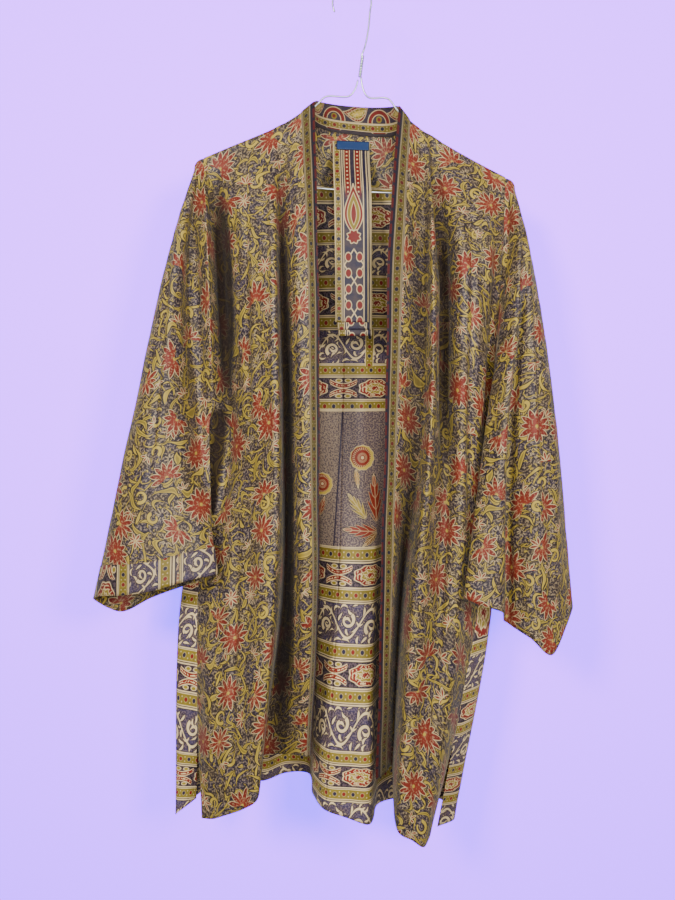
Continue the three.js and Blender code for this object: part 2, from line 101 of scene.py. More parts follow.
def through(at, value, corners, query):
    """Cubic curve through stops. Its slope at a stop is the mean of the slopes on either
    side, and at a corner each side keeps its own."""
    slope = np.diff(value) / np.diff(at)
    mean = (slope[1:] + slope[:-1]) / 2
    before = np.concatenate([slope[:1], np.where(corners[1:-1], slope[1:], mean)])
    after = np.concatenate([np.where(corners[1:-1], slope[:-1], mean), slope[-1:]])
    way = np.sign(at[-1] - at[0])
    i = np.clip(np.searchsorted(at * way, query * way) - 1, 0, len(at) - 2)
    span = at[i + 1] - at[i]
    t = (query - at[i]) / span
    return between(t, value[i], value[i + 1], span * before[i], span * after[i])


def stepped(levels, counts):
    """Even steps from each level to the next, counts[i] of them in stretch i."""
    parts = [np.linspace(a, b, n, endpoint=False)
             for a, b, n in zip(levels[:-1], levels[1:], counts)]
    return np.concatenate(parts + [levels[-1:]])


def across(lines, steps):
    """Centripetal Catmull-Rom curve through the same row of every line. The knots are the
    square roots of the distances, and steps columns are made from each line to the next."""
    padded = np.concatenate([2 * lines[:1] - lines[1:2], lines, 2 * lines[-1:] - lines[-2:-1]])
    gap = np.linalg.norm(np.diff(padded, axis=0), axis=-1, keepdims=True) ** 0.5
    gap = np.maximum(gap, 1e-3)
    p0, p1, p2, p3 = padded[:-3], padded[1:-2], padded[2:-1], padded[3:]
    d0, d1, d2 = gap[:-2], gap[1:-1], gap[2:]
    m1 = ((p1 - p0) / d0 - (p2 - p0) / (d0 + d1) + (p2 - p1) / d1) * d1
    m2 = ((p2 - p1) / d1 - (p3 - p1) / (d1 + d2) + (p3 - p2) / d2) * d1
    t = np.linspace(0, 1, steps, endpoint=False)[None, :, None, None]
    curve = between(t, *(a[:, None] for a in (p1, p2, m1, m2)))
    flat = curve.reshape(-1, *lines.shape[1:])
    return np.concatenate([flat, lines[-1:]]).transpose(1, 0, 2)


# %% [markdown]
# ## Shoulders
# A jacket hangs from a line over the hanger's wire, its shoulder seam. The wire's height comes
# from a few stops, and the cloth rolls over it in a quarter turn to either side. A modelled
# roll keeps the top soft, where two flat panels would meet in a sharp ridge.

# %% Shoulder line over the hanger's arms
ARMS = {
    "right": np.array([[-198, -225.2], [-156, -208], [-89, -180], [-62, -163.5], [-47, -152.0]]),
    "left": np.array([[58, -156], [75, -176], [102, -194.5], [155, -224.5], [207, -251.0]]),
}


def arm_height(x):
    """Height of the wire's centre line at x."""
    arm = ARMS["right" if x < 0 else "left"]
    return float(through(arm[:, 0], arm[:, 1], np.zeros(len(arm), bool), np.array([x]))[0])


def shoulder_height(x):
    """Height of the shoulder seam: LIFT above the wire, square to its slope."""
    slope = arm_height(x + 0.5) - arm_height(x - 0.5)
    return arm_height(x) + LIFT * math.hypot(1, slope)


def rolled_top(x, z, face):
    """The cloth's quarter turn over the wire, from its seam to the roll's foot."""
    turn = np.linspace(0, np.pi / 2, ROLL_ROWS + 1)[:-1]
    y = face * (EDGE_OUT + (ROLL_OUT - EDGE_OUT) * np.sin(turn))
    return np.stack([np.full_like(turn, x), y, z - ROLL_DROP * (1 - np.cos(turn))], axis=-1)


print("shoulder seam at x = -150:", round(shoulder_height(-150.0), 1), "mm")

# %% [markdown]
# ## Fronts
# Each front is one length of cloth from the shoulder to the hem. Its fold lines are listed from
# the wearer's right to left. The line apart from each table is the free edge of its band.

# %% Fold tables of the fronts
# Columns: x at the shoulder; x, y at the chest, the underarm and the hip; x, y, z at the hem;
# and, on a side seam only, x, y at the top of the slit.
RIGHT_FRONT = [
    (-194.5, -186, -38, -185, -13, -208, -20, -201, -58, -1097, -211, -24),
    (-186, -176, -8, -166, -5, -193, -30, -187, -64, -1095),
    (-158, -150, -30, -147, -30, -168, -46, -168, -77, -1083),
    (-127, -123, -48, -119, -56, -132, -70, -142, -88, -1068),
    (-108, -101, -58, -95, -72, -102, -86, -123, -95, -1052),
    (-93, -92, -34, -89, -28, -91, -25, -123, -2, -1037),
    (-82, -80, -45, -77, -45, -80, -40, -93, -6, -1033),
    (-72, -67, -56, -64, -62, -62, -62, -72, -17, -1029),
    (-66, -57, -58, -54, -62, -52, -60, -62, -20, -1029),
]
RIGHT_EDGE = (-48, -44, -53, -42, -55, -45, -50, -56, -13, -1031)
LEFT_FRONT = [
    (76, 65, -60, 57, -63, 53, -52, 50, -12, -1054),
    (93, 93, -36, 86, -38, 68, -15, 58, 8, -1057),
    (100, 102, -58, 99, -71, 80, -81, 60, -95, -1095),
    (106, 119, -30, 121, -35, 113, -56, 78, -92, -1108),
    (138, 139, -54, 142, -56, 135, -62, 94, -86, -1121),
    (170, 169, -48, 166, -40, 157, -42, 103, -70, -1118),
    (202.5, 198, -17, 186, -12, 175, -20, 109, -50, -1114, 142, -32),
]
LEFT_EDGE = (61, 46, -55, 42, -60, 38, -50, 35, -26, -1059)
print("fold lines of the fronts:", len(RIGHT_FRONT), "and", len(LEFT_FRONT))

# %% [markdown]
# ## Back
# The back is cut in two halves and sewn down the middle, so one line of its table is the centre
# seam. Round the neck its lines start lower, under the neck band, on a curve of their own.

# %% Fold table of the back
BACK = [
    (-194.5, -195, 30, -187, -5, -208, -20, -217, -8, -1096, -211, -24),
    (-188, -183, 42, -188, 14, -234, 2, -247, -8, -1120),
    (-166, -160, 50, -168, 42, -200, 44, -214, 56, -1116),
    (-140, -135, 42, -137, 56, -152, 76, -170, 94, -1116),
    (-113, -108, 52, -108, 42, -114, 47, -131, 72, -1112),
    (-86, -81, 46, -80, 58, -86, 78, -97, 97, -1112),
    (-57, -52, 51, -54, 46, -58, 60, -64, 92, -1110),
    (-43, -35, 46, -36, 40, -42, 26, -54, 26, -1109),
    (-21, -10, 43, -12, 37, -18, 11, -36, -11, -1112),
    (5, 19, 44, 14, 40, 8, 6, -4, -18, -1120),
    (33, 44, 48, 40, 48, 30, 9, 25, -20, -1128),
    (55, 63, 51, 62, 58, 47, 35, 39, 26, -1124),
    (68, 86, 45, 88, 46, 72, 62, 66, 58, -1132),
    (96, 114, 51, 115, 58, 108, 76, 92, 72, -1132),
    (128, 140, 43, 142, 46, 142, 52, 112, 52, -1130),
    (160, 167, 47, 170, 50, 178, 56, 134, 56, -1132),
    (190, 191, 42, 190, 20, 198, 8, 148, 6, -1134),
    (202.5, 198, 30, 188, -4, 175, -20, 122, -8, -1138, 142, -32),
]
CENTRE_SEAM = 8
# Round the back of the neck: x of the free edge, x of the seam, y, z of edge, z of seam.
NECK = np.array([
    (-48, -66, 0.9, -148.5, -160.5),
    (-47, -57, 13, -142, -167),
    (-39, -43, 27, -139.5, -174),
    (-20, -21, 34, -140.5, -178),
    (5, 5, 35, -142.5, -181),
    (32, 33, 34, -144, -184),
    (52, 55, 27, -145.5, -185.5),
    (61, 68, 13, -149, -182),
    (61.5, 76, 0.9, -156.5, -172),
])
NECK_SEAM = (-66, 76)
NECK_TUCK = 2.5
print("fold lines of the back:", len(BACK), "with the centre seam at", BACK[CENTRE_SEAM][0])

# %% [markdown]
# ## From fold lines to panels
# A fold line leaves the shoulder seam over the wire, or starts under the neck band, and then
# falls in a smooth curve through its stops. A row of such lines joined crosswise is a panel, so
# to change a fold, one line of a table is changed.

# %% Grids of the body's panels


def down_the_fold(fold, start, seam_rows):
    """One fold line of the body: its top rows, then a smooth curve through its stops."""
    _, x_chest, y_chest, x_under, y_under, x_hip, y_hip, x_hem, y_hem, z_hem, *slit = fold
    stops = [(*start, 0), (x_chest, y_chest, CHEST, 0), (x_under, y_under, UNDERARM, bool(slit)),
             (x_hip, y_hip, HIP, 0)]
    stops += [(*slit, SLIT, 1)] if slit else []
    stops = np.array(stops + [(x_hem, y_hem, z_hem, 0)], float)
    heights = stepped(np.array([start[2], CHEST, UNDERARM, HIP, SLIT, z_hem]), BODY_ROWS)
    corners = stops[:, 3] > 0
    x, y = (through(stops[:, 2], stops[:, axis], corners, heights) for axis in (0, 1))
    return np.concatenate([seam_rows, np.stack([x, y, heights], axis=-1)])


def shoulder_fold(fold, face):
    """A fold line that starts on the shoulder seam; face is -1 in front and 1 behind."""
    z = shoulder_height(fold[0])
    return down_the_fold(fold, (fold[0], face * ROLL_OUT, z - ROLL_DROP),
                         rolled_top(fold[0], z, face))


def neck_fold(fold):
    """A fold line of the back that starts under the neck band, a little up behind it."""
    y, z = (through(NECK[:, 1], NECK[:, k], np.zeros(len(NECK), bool), np.array([fold[0]]))[0]
            for k in (2, 4))
    rows = np.linspace(0, 1, ROLL_ROWS + 1)[:-1, None]
    top, foot = np.array([fold[0], y + 0.8, z + NECK_TUCK]), (fold[0], y + 0.5, z - ROLL_DROP)
    return down_the_fold(fold, foot, top + rows * (np.array(foot) - top))


def back_fold(fold):
    """A fold line of the back: from the neck band between its seams, else from a shoulder."""
    return neck_fold(fold) if NECK_SEAM[0] < fold[0] < NECK_SEAM[1] else shoulder_fold(fold, 1)


right_front = across(np.array([shoulder_fold(f, -1) for f in RIGHT_FRONT]), FRONT_STEPS)
left_front = across(np.array([shoulder_fold(f, -1) for f in LEFT_FRONT]), FRONT_STEPS)
back = across(np.array([back_fold(f) for f in BACK]), BACK_STEPS)
print("grids of points, rows by columns:", right_front.shape, left_front.shape, back.shape)

# %% [markdown]
# ## Sleeves
# A kimono sleeve is a wide tube that opens along the armhole. Its fold lines leave the round
# end of the hanger's arm like spokes: the column turn is the angle at which each one leaves,
# 90 straight up and 0 straight out. The rest is as on the body.

# %% Fold tables of the sleeves
# Columns: turn; face, -1 in front and 1 behind; x, y at the chest, at the underarm and at the
# cuff; z at the cuff.
RIGHT_SLEEVE = [
    (80, -1, -190, -38, -190, -20, -183, -49, -766),
    (70, -1, -214, -12, -202, -18, -176, -62, -763),
    (55, -1, -219, -33, -222, -50, -214, -79, -768),
    (40, -1, -227, -38, -246, -61, -247, -85, -777),
    (22, -1, -237, -27, -272, -57, -289, -78, -786),
    (10, -0.7, -241, -14, -290, -40, -328, -58, -793),
    (0, 0, -243, 0, -299, -12, -346, -30, -805),
    (10, 0.7, -241, 13, -291, 8, -333, -12, -822),
    (22, 1, -236, 24, -277, 17, -315, -6, -829),
    (45, 1, -222, 34, -252, 20, -275, -4, -810),
    (65, 1, -210, 39, -222, 10, -228, -22, -789),
    (80, 1, -199, 34, -193, -14, -186, -45, -769),
]
LEFT_SLEEVE = [
    (80, -1, 202, -18, 190, -25, 166, -52, -800),
    (72, -1, 204, -24, 171, -50, 144, -75, -790),
    (64, -1, 209, -36, 180, -68, 162, -89, -796),
    (56, -1, 215, -44, 194, -77, 192, -84, -807),
    (46, -1, 221, -38, 205, -46, 207, -44, -833),
    (34, -1, 228, -34, 237, -60, 233, -66, -847),
    (18, -1, 233, -22, 262, -46, 262, -62, -871),
    (8, -0.7, 236, -11, 273, -28, 284, -48, -838),
    (0, 0, 237, 0, 277, -8, 297, -32, -812),
    (12, 0.8, 235, 13, 272, 10, 291, -10, -815),
    (35, 1, 225, 28, 250, 22, 258, 0, -822),
    (62, 1, 211, 36, 218, 14, 208, -20, -816),
    (80, 1, 202, 30, 192, -17, 172, -44, -804),
]
# The round ends of the hanger's arms: x and z of the middle, and the way out along x.
ARM_END = {"right": (-194.5, -233.5, -1), "left": (202.5, -259.0, 1)}
ARM_END_RADIUS = 9.0


def sleeve_fold(fold, side):
    """One fold line of a sleeve, from beside the arm's round end to the cuff."""
    turn, face, x_chest, y_chest, x_under, y_under, x_cuff, y_cuff, z_cuff = fold
    x_end, z_end, outward = ARM_END[side]
    angle, radius = math.radians(turn), ARM_END_RADIUS + LIFT
    x, z = x_end + outward * radius * math.cos(angle), z_end + radius * math.sin(angle)
    stops = np.array([(x, face * ROLL_OUT, z - ROLL_DROP), (x_chest, y_chest, CHEST),
                      (x_under, y_under, UNDERARM), (x_cuff, y_cuff, z_cuff)], float)
    heights = stepped(np.array([z - ROLL_DROP, CHEST, UNDERARM, z_cuff]), SLEEVE_ROWS)
    smooth = np.zeros(len(stops), bool)
    xs, ys = (through(stops[:, 2], stops[:, axis], smooth, heights) for axis in (0, 1))
    return np.concatenate([rolled_top(x, z, face), np.stack([xs, ys, heights], axis=-1)])


right_sleeve, left_sleeve = (
    across(np.array([sleeve_fold(f, side) for f in table]), SLEEVE_STEPS)
    for side, table in (("right", RIGHT_SLEEVE), ("left", LEFT_SLEEVE)))
print("sleeve grids:", right_sleeve.shape, left_sleeve.shape)

# %% [markdown]
# ## Creases
# Thin cloth keeps soft marks of how it was folded and how it pulls from the shoulder. Noise
# would look like crumpled foil, so each crease is listed: a line on the front view, a
# width and a depth. The cloth moves out or in along its own normal, most on the line, and
# fades towards the ends. A slow ripple adds the slight unevenness of real cloth.

# %% Press creases into a grid
RIPPLE = 0.5


def lengths(grid):
    """Length of cloth from the first column, and from the top row, at each point, in mm."""
    steps = (np.linalg.norm(np.diff(grid, axis=1, prepend=grid[:, :1]), axis=-1),
             np.linalg.norm(np.diff(grid, axis=0, prepend=grid[:1]), axis=-1))
    return np.cumsum(steps[0], axis=1), np.cumsum(steps[1], axis=0)


def from_line(grid, x0, z0, x1, z1):
    """How far along a line each point lies, 0 to 1, and its distance from it, as seen from
    the front."""
    start, run = np.array([x0, z0]), np.array([x1 - x0, z1 - z0], float)
    offset = grid[..., [0, 2]] - start
    along = np.clip(offset @ run / (run @ run), 0, 1)
    return along, np.linalg.norm(offset - along[..., None] * run, axis=-1)


def normals_of(grid):
    """Unit vector across the columns times down the rows."""
    normal = np.cross(np.gradient(grid, axis=1), np.gradient(grid, axis=0))
    return normal / np.maximum(np.linalg.norm(normal, axis=-1, keepdims=True), 1e-9)


def press(grid, outward, face, creases):
    """Adds depth * exp(-(distance / width)^2) along the normal for each crease, on the side
    of the cloth that faces front (-1) or back (1); outward turns the normal to the outside."""
    for *line, width, depth in creases:
        along, distance = from_line(grid, *line)
        fade = np.sin(np.pi * (0.08 + 0.84 * along))
        out = outward * normals_of(grid)
        facing = np.clip(2.5 * face * out[..., 1], 0, 1)
        grid = grid + out * (depth * fade * facing * np.exp(-(distance / width) ** 2))[..., None]
    return grid


def ripple(grid, phase):
    """Sum of three slow sine waves over the cloth's own lengths, up to RIPPLE in or out, and
    calm on the shoulder."""
    u, v = lengths(grid)
    wave = (np.sin(u / 7.3 + 1.3 * np.sin(v / 41 + phase)) * np.sin(v / 63 + 2 * phase)
            + 0.7 * np.sin(u / 4.1 + v / 23 + phase) * np.sin(v / 31 - u / 37)
            + 0.8 * np.sin(v / 17 + 1.9 * np.sin(u / 19 + phase)) * np.sin(u / 29 + phase))
    calm = np.clip(v / 40, 0, 1) ** 2
    return grid + normals_of(grid) * (RIPPLE / 2.5 * wave * calm)[..., None]


# %% [markdown]
# ## Where the creases lie
# Most creases fan out from the shoulder or from the underarm, where the cloth's weight pulls.
# A few narrow, deep ones mark the sharp valleys beside the big folds. The sleeves' backs get
# creases like those of their fronts, moved and softened.

# %% Creases listed
# Columns: x, z of one end; x, z of the other; width; depth, all in millimetres.
RIGHT_FRONT_CREASES = [
    (-150, -225, -128, -420, 9, 2.4), (-172, -250, -152, -520, 8, -2.6),
    (-138, -300, -118, -640, 7, 2.0), (-118, -210, -104, -380, 6, -2.2),
    (-150, -600, -172, -900, 10, 2.6), (-128, -640, -150, -1010, 9, -2.4),
    (-180, -640, -196, -1040, 8, 2.2), (-110, -560, -118, -860, 7, 1.8),
    (-168, -820, -186, -1080, 7, -2.0), (-74, -240, -66, -520, 4, 1.4),
    (-70, -600, -62, -900, 4, 1.3), (-146, -430, -164, -560, 6, 1.6),
    (-120, -820, -136, -1040, 6, 1.8), (-86, -330, -82, -600, 5, -1.6),
    (-178, -240, -168, -520, 5, -5), (-138, -240, -134, -560, 5, -4.5),
    (-150, -700, -160, -1060, 5, -5.0), (-100, -200, -98, -700, 4, 3.0),
]
LEFT_FRONT_CREASES = [
    (120, -235, 150, -420, 9, 2.6), (150, -255, 178, -470, 8, -2.4),
    (92, -220, 96, -420, 5, 1.8), (132, -430, 150, -720, 9, 2.2),
    (160, -480, 150, -820, 8, -2.2), (118, -560, 126, -860, 7, 1.6),
    (100, -640, 84, -960, 6, 2.0), (146, -760, 118, -1060, 8, 2.4),
    (128, -800, 104, -1080, 6, -2.2), (88, -860, 70, -1070, 6, 1.6),
    (72, -320, 64, -620, 4, 1.3), (172, -300, 186, -420, 6, 1.6),
    (106, -200, 119, -400, 5.5, -9),
    (119, -330, 121, -620, 5, -8), (152, -300, 154, -700, 5, -4.5),
    (128, -620, 100, -1060, 5, -5.5), (186, -330, 178, -640, 5, -6),
]
BACK_CREASES = [
    (-150, -230, -120, -480, 10, 2.6), (-100, -230, -92, -560, 8, -2.2),
    (-170, -300, -176, -620, 8, 2.2), (-60, -260, -66, -700, 8, 1.8),
    (80, -240, 96, -520, 9, 2.4), (130, -260, 150, -560, 9, -2.4),
    (170, -320, 178, -640, 7, 2.0), (-150, -640, -180, -1060, 11, 2.8),
    (-118, -700, -124, -1080, 9, -2.4), (96, -620, 84, -1080, 9, 2.4),
    (140, -700, 118, -1090, 9, -2.4), (-30, -560, -44, -1060, 8, 1.6),
    (20, -360, 14, -900, 8, -1.6), (44, -620, 36, -1060, 7, 1.6),
]
RIGHT_SLEEVE_CREASES = [
    (-212, -262, -252, -520, 9, 2.4), (-226, -300, -280, -640, 8, -2.2),
    (-232, -440, -262, -700, 9, 2.0), (-292, -560, -318, -740, 8, 1.8),
    (-206, -360, -214, -600, 6, 1.8), (-238, -600, -232, -740, 8, -1.8),
    (-268, -640, -292, -760, 8, 2.2), (-204, -640, -196, -745, 6, 1.6),
    (-218, -300, -232, -400, 6, -1.8), (-300, -640, -286, -700, 9, -1.4),
    (-208, -290, -202, -600, 5, -6), (-232, -330, -262, -660, 5, -4.5),
]
LEFT_SLEEVE_CREASES = [
    (214, -285, 246, -520, 8, 2.4), (224, -330, 262, -640, 7, -2.0),
    (236, -480, 240, -760, 9, 2.0), (262, -560, 276, -780, 7, 1.8),
    (196, -480, 176, -760, 6, 2.0), (212, -600, 222, -800, 7, -1.8),
    (250, -640, 262, -840, 8, 1.8), (182, -640, 168, -780, 5, -1.2),
    (222, -400, 232, -500, 7, 1.6), (240, -760, 226, -830, 8, 1.4),
    (221, -330, 205, -600, 5.5, -9), (206, -540, 206, -830, 5.5, -9),
    (232, -360, 252, -700, 5, -4.5), (255, -640, 262, -840, 5, -4.0),
]


def other_side(creases, shift):
    """Creases for the back of a sleeve: x moves by shift at the top and by 1.6 * shift at the
    foot, and the depth is turned over and softened to 0.8."""
    moved = np.array(creases, float)
    moved[:, [0, 2]] += shift
    moved[:, [1, 3]] += 1.6 * shift
    moved[:, 5] *= -0.8
    return moved


# %% [markdown]
# ## Sewing the sleeves on
# A sleeve is sewn to the body from the shoulder to the underarm and hangs free below. Each
# grid was made alone, so the sleeve's seam is moved onto the body's edge. Below the underarm
# the right side seam swings out behind the sleeve, so no gap shows between the two.

# %% Sewn seams
SEWN_COLUMNS, SWING_COLUMNS, SWING_TOP, SWING_FOOT = 10, 8, -540, -745
SEAM_SWING = np.array([-7.0, 3.0])


def swing_out(grid):
    """Adds SEAM_SWING to x and y at the seam, times the square of a falling cosine over the
    next columns, and fades it in and out at its top and foot."""
    z = grid[:, :SWING_COLUMNS, 2]
    fade = np.clip((SWING_TOP - z) / 45, 0, 1) * np.clip((z - SWING_FOOT) / 60, 0, 1)
    share = fade * np.cos(np.linspace(0, np.pi / 2, SWING_COLUMNS)) ** 2
    swung = grid.copy()
    swung[:, :SWING_COLUMNS, :2] += share[..., None] * SEAM_SWING
    return swung


def sew(grid, column, inward, edge):
    """Brings a sleeve's seam column onto the body's edge down to the underarm, as the sleeve
    is sewn there, and lets the next columns follow it less and less."""
    z = grid[:, column, 2]
    order = np.argsort(edge[:, 2])
    onto = np.stack([np.interp(z, edge[order, 2], edge[order, k]) for k in (0, 1)], axis=-1)
    weight = np.clip((z - UNDERARM - 8) / 30, 0, 1)[:, None]
    move = (onto - grid[:, column, :2]) * weight
    sewn = grid.copy()
    for step, share in enumerate(np.cos(np.linspace(0, np.pi / 2, SEWN_COLUMNS)) ** 2):
        sewn[:, column + inward * step, :2] += move * share
    return sewn


def finish_sleeve(grid, outward, creases, shift, phase, front_edge, back_edge):
    """Presses creases into both faces of a sleeve, ripples it and sews it to both edges."""
    grid = press(grid, outward, -1, creases)
    grid = ripple(press(grid, outward, 1, other_side(creases, shift)), phase)
    return sew(sew(grid, 0, 1, front_edge), -1, -1, back_edge)


right_front = swing_out(ripple(press(right_front, -1, -1, RIGHT_FRONT_CREASES), 0.4))
left_front = ripple(press(left_front, -1, -1, LEFT_FRONT_CREASES), 1.9)
back = swing_out(ripple(press(back, 1, 1, BACK_CREASES), 2.7))
right_sleeve = finish_sleeve(right_sleeve, 1, RIGHT_SLEEVE_CREASES, 9, 3.8,
                             right_front[:, 0], back[:, 0])
left_sleeve = finish_sleeve(left_sleeve, -1, LEFT_SLEEVE_CREASES, -9, 5.1,
                            left_front[:, -1], back[:, -1])
print("creases laid:", sum(map(len, (RIGHT_FRONT_CREASES, LEFT_FRONT_CREASES, BACK_CREASES,
                                     RIGHT_SLEEVE_CREASES, LEFT_SLEEVE_CREASES))))

# %% [markdown]
# ## From a grid to a piece of cloth
# A grid of points becomes a mesh of quads. Each point also keeps how far along the cloth it
# lies, in metres, in a UV map, so the print bends with every fold. A second map holds the
# distance to the side edge and to the hem, for stitches. On the fronts a third map holds
# painted shade: how deep in a fold a point lies, which darkens the colour there, since the
# lamps of a small scene leave deep folds too light.

# %% Maps of a grid
FOLD_REACH, FOLD_COLUMNS, FOLD_START = 28, 25, 3


def lengths_along(grid, from_column):
    """Length of cloth from the chosen column, and down each column, in metres."""
    u, v = lengths(grid)
    return np.stack([u - u[:, [from_column]], v], axis=-1) * MM


def edge_distances(grid):
    """Distance to the nearer side edge, and to the hem, in metres."""
    u, v = (length * MM for length in lengths(grid))
    return np.stack([np.minimum(u, u[:, -1:] - u), v[-1:] - v], axis=-1)


def fold_shade(grid, full, shadows=()):
    """Painted shade of a point of a front, 0 in the open and 1 down in a deep fold: its depth
    less FOLD_START, over full. The depth is measured from the lower of the highest points
    within FOLD_REACH to its left and right. Each shadow adds a painted shadow along a line,
    with a width at either end."""
    height = -grid[..., 1]
    highest = []
    for side in (1, -1):
        best = height
        for step in range(1, FOLD_COLUMNS + 1):
            near = np.clip(np.arange(grid.shape[1]) + side * step, 0, grid.shape[1] - 1)
            close = abs(grid[:, near, 0] - grid[..., 0]) < FOLD_REACH
            best = np.maximum(best, np.where(close, height[:, near], -1e3))
        highest.append(best)
    shade = np.clip((np.minimum(*highest) - height - FOLD_START) / full, 0, 1)
    for *line, wide_0, wide_1 in shadows:
        along, distance = from_line(grid, *line)
        wide = wide_0 + (wide_1 - wide_0) * along
        shade = np.maximum(shade, np.exp(-(distance / wide) ** 4))
    return np.stack([shade, np.zeros(shade.shape)], axis=-1)


# %% [markdown]
# ## Meshes
# Blender takes a mesh as whole lists of points and faces. Neighbouring points of a grid make
# the quads, and the maps are written corner by corner in one go. A Solidify modifier gives the
# cloth its thickness, so the grid itself stays one layer that is easy to shape.

# %% Mesh from grids
CLOTH_THICKNESS = 0.7
finished = {}


def mesh_object(name, points, faces):
    """Makes a mesh object and puts it in the scene."""
    mesh = bpy.data.meshes.new(name)
    mesh.from_pydata(points, [], faces)
    piece = bpy.data.objects.new(name, mesh)
    bpy.context.scene.collection.objects.link(piece)
    return piece


def quads_of(rows, columns, flip, around):
    """Corner numbers of every quad. flip turns the faces over, and around joins the last
    column to the first."""
    number = np.arange(rows * columns).reshape(rows, columns)
    right = np.roll(number, -1, axis=1) if around else number[:, 1:]
    left = number if around else number[:, :-1]
    quads = np.stack([left[:-1], right[:-1], right[1:], left[1:]], axis=-1).reshape(-1, 4)
    return quads[:, ::-1] if flip else quads


def make_piece(name, sheets, thickness=CLOTH_THICKNESS):
    """Joins sheets, each (grid in mm, flip, {map name: uv per point}), in one mesh object."""
    points, faces, maps, count = [], [], {}, 0
    for grid, flip, uvs in sheets:
        points.append(grid.reshape(-1, 3) * MM)
        faces.append(quads_of(*grid.shape[:2], flip, False) + count)
        for label, uv in uvs.items():
            maps.setdefault(label, []).append(uv.reshape(-1, 2))
        count += len(points[-1])
    points, faces = np.concatenate(points), np.concatenate(faces)
    piece = mesh_object(name, points, faces)
    mesh = piece.data
    corners = np.empty(len(mesh.loops), np.int32)
    mesh.loops.foreach_get("vertex_index", corners)
    for label, parts in maps.items():
        layer = mesh.uv_layers.new(name=label)
        layer.uv.foreach_set("vector", np.concatenate(parts)[corners].astype(np.float32).ravel())
    mesh.shade_smooth()
    shell = piece.modifiers.new("cloth thickness", "SOLIDIFY")
    shell.thickness, shell.offset, shell.use_even_offset = thickness * MM, 0, False
    finished[name] = piece
    print(name, len(faces), "quads")


def panel(name, grid, flip, from_column, extra=None):
    """A plain panel of cloth with its length and edge maps, and extra ones by name."""
    maps = {"cloth": lengths_along(grid, from_column), "edge": edge_distances(grid)}
    make_piece(name, [(grid, flip, {**maps, **(extra or {})})])


# %% [markdown]
# ## The back's border print
# The back is cut from the end of the cloth, where the print changes to bands: ribbons,
# medallions and scrolling leaves in turn, with one plain panel between. A map of its own says
# which repeat of the bands a point lies in, worked out from its height by a short table. So
# the bands can keep the uneven heights that a hand-laid print has.

# %% Fronts and back
CENTRE_BANDS = np.array([  # height in mm, repeat
    (-140, -0.8), (-250, 0), (-318, 0.5), (-368, 1), (-434, 1.5), (-490, 2), (-550, 2.5),
    (-746, 3), (-812, 3.5), (-879, 4), (-953, 4.5), (-1029, 5), (-1089, 5.5), (-1160, 6.05),
])
SIDE_BANDS = np.array([
    (-140, -0.8), (-250, 0), (-368, 1), (-490, 2), (-560, 2.5), (-740, 3), (-863, 3.37),
    (-936, 4), (-1047, 5), (-1160, 6.05),
])


def band_repeat(grid):
    """Repeat of the border print at each point: by the table at the centre, and by the side
    table past 150 mm on the wearer's left, with a smooth change between."""
    x, z = grid[..., 0], grid[..., 2]
    centre = np.interp(-z, -CENTRE_BANDS[:, 0], CENTRE_BANDS[:, 1])
    side = np.interp(-z, -SIDE_BANDS[:, 0], SIDE_BANDS[:, 1])
    weight = np.clip((x - 95) / 60, 0, 1)
    return centre + (side - centre) * weight * weight * (3 - 2 * weight)


# The sleeve's shadow on the right front: x, z of its ends, and a width at each, in mm.
SLEEVE_SHADOW = (-177, -560, -188, -690, 15, 4)
# The fronts' fold maps hold painted shade: their deep folds, and the sleeve's shadow on the right
# front.
panel("right_front_cloth", right_front, True, -1,
      {"fold": fold_shade(right_front, 18, [SLEEVE_SHADOW])})
panel("left_front_cloth", left_front, True, 0, {"fold": fold_shade(left_front, 34)})
seam = CENTRE_SEAM * BACK_STEPS
back_lengths, back_repeat = lengths_along(back, seam), band_repeat(back)
back_print = np.stack([back_lengths[..., 0], back_repeat], axis=-1)
BACK_HALVES = {"right_back_cloth": slice(0, seam + 1), "left_back_cloth": slice(seam, None)}
for name, part in BACK_HALVES.items():
    panel(name, back[:, part], False, -1 if name.startswith("right") else 0,
          {"print": back_print[:, part]})

# %% [markdown]
# ## Bands on the edges
# Down each front edge and round the neck the cloth is finished with a folded band. Its cross
# section is a flat loop: out over the face, round the free edge and back inside. The same
# short profile is carried along every edge.

# %% Front bands and neck band
BAND_THICKNESS, EDGE_WAVE = 0.5, 0.9
# Columns: share of the way from the seam to the free edge, height over the cloth in mm.
BAND_PROFILE = np.array([
    (0.0, 0.35), (0.02, 0.75), (0.06, 1.0), (0.25, 1.2), (0.5, 1.3), (0.75, 1.2), (0.92, 1.05),
    (0.97, 0.8), (1.0, 0.35), (1.005, 0.0), (1.0, -0.35), (0.97, -0.8), (0.9, -1.0),
    (0.6, -1.05), (0.3, -1.0), (0.04, -0.9),
])


def folded_band(seam_line, edge_line, flip_height):
    """Carries the profile along a band: share of the way over, height along the normal."""
    over = edge_line - seam_line
    normal = np.cross(over, np.gradient(seam_line, axis=0))
    normal *= flip_height / np.linalg.norm(normal, axis=-1, keepdims=True)
    share, height = BAND_PROFILE[:, 0, None], BAND_PROFILE[:, 1, None]
    return seam_line[:, None] + share * over[:, None] + height * normal[:, None]


def band_piece(name, grid, flip):
    """The band's map holds the share of the way over and the length along, in metres."""
    along = lengths_along(grid, 0)[..., 1].mean(axis=1, keepdims=True)
    over = np.clip(BAND_PROFILE[:, 0], 0, 1)
    band_map = np.stack(np.broadcast_arrays(over, along), axis=-1)
    make_piece(name, [(grid, flip, {"cloth": band_map})], BAND_THICKNESS)


def edge_curve(fold, phase):
    """A front edge's fold line with the slight waviness of a sewn edge: two sines, up to
    EDGE_WAVE sideways."""
    line = shoulder_fold(fold, -1)
    line[:, 0] += EDGE_WAVE * np.sin(line[:, 2] / 37 + phase) * np.sin(line[:, 2] / 89)
    return line


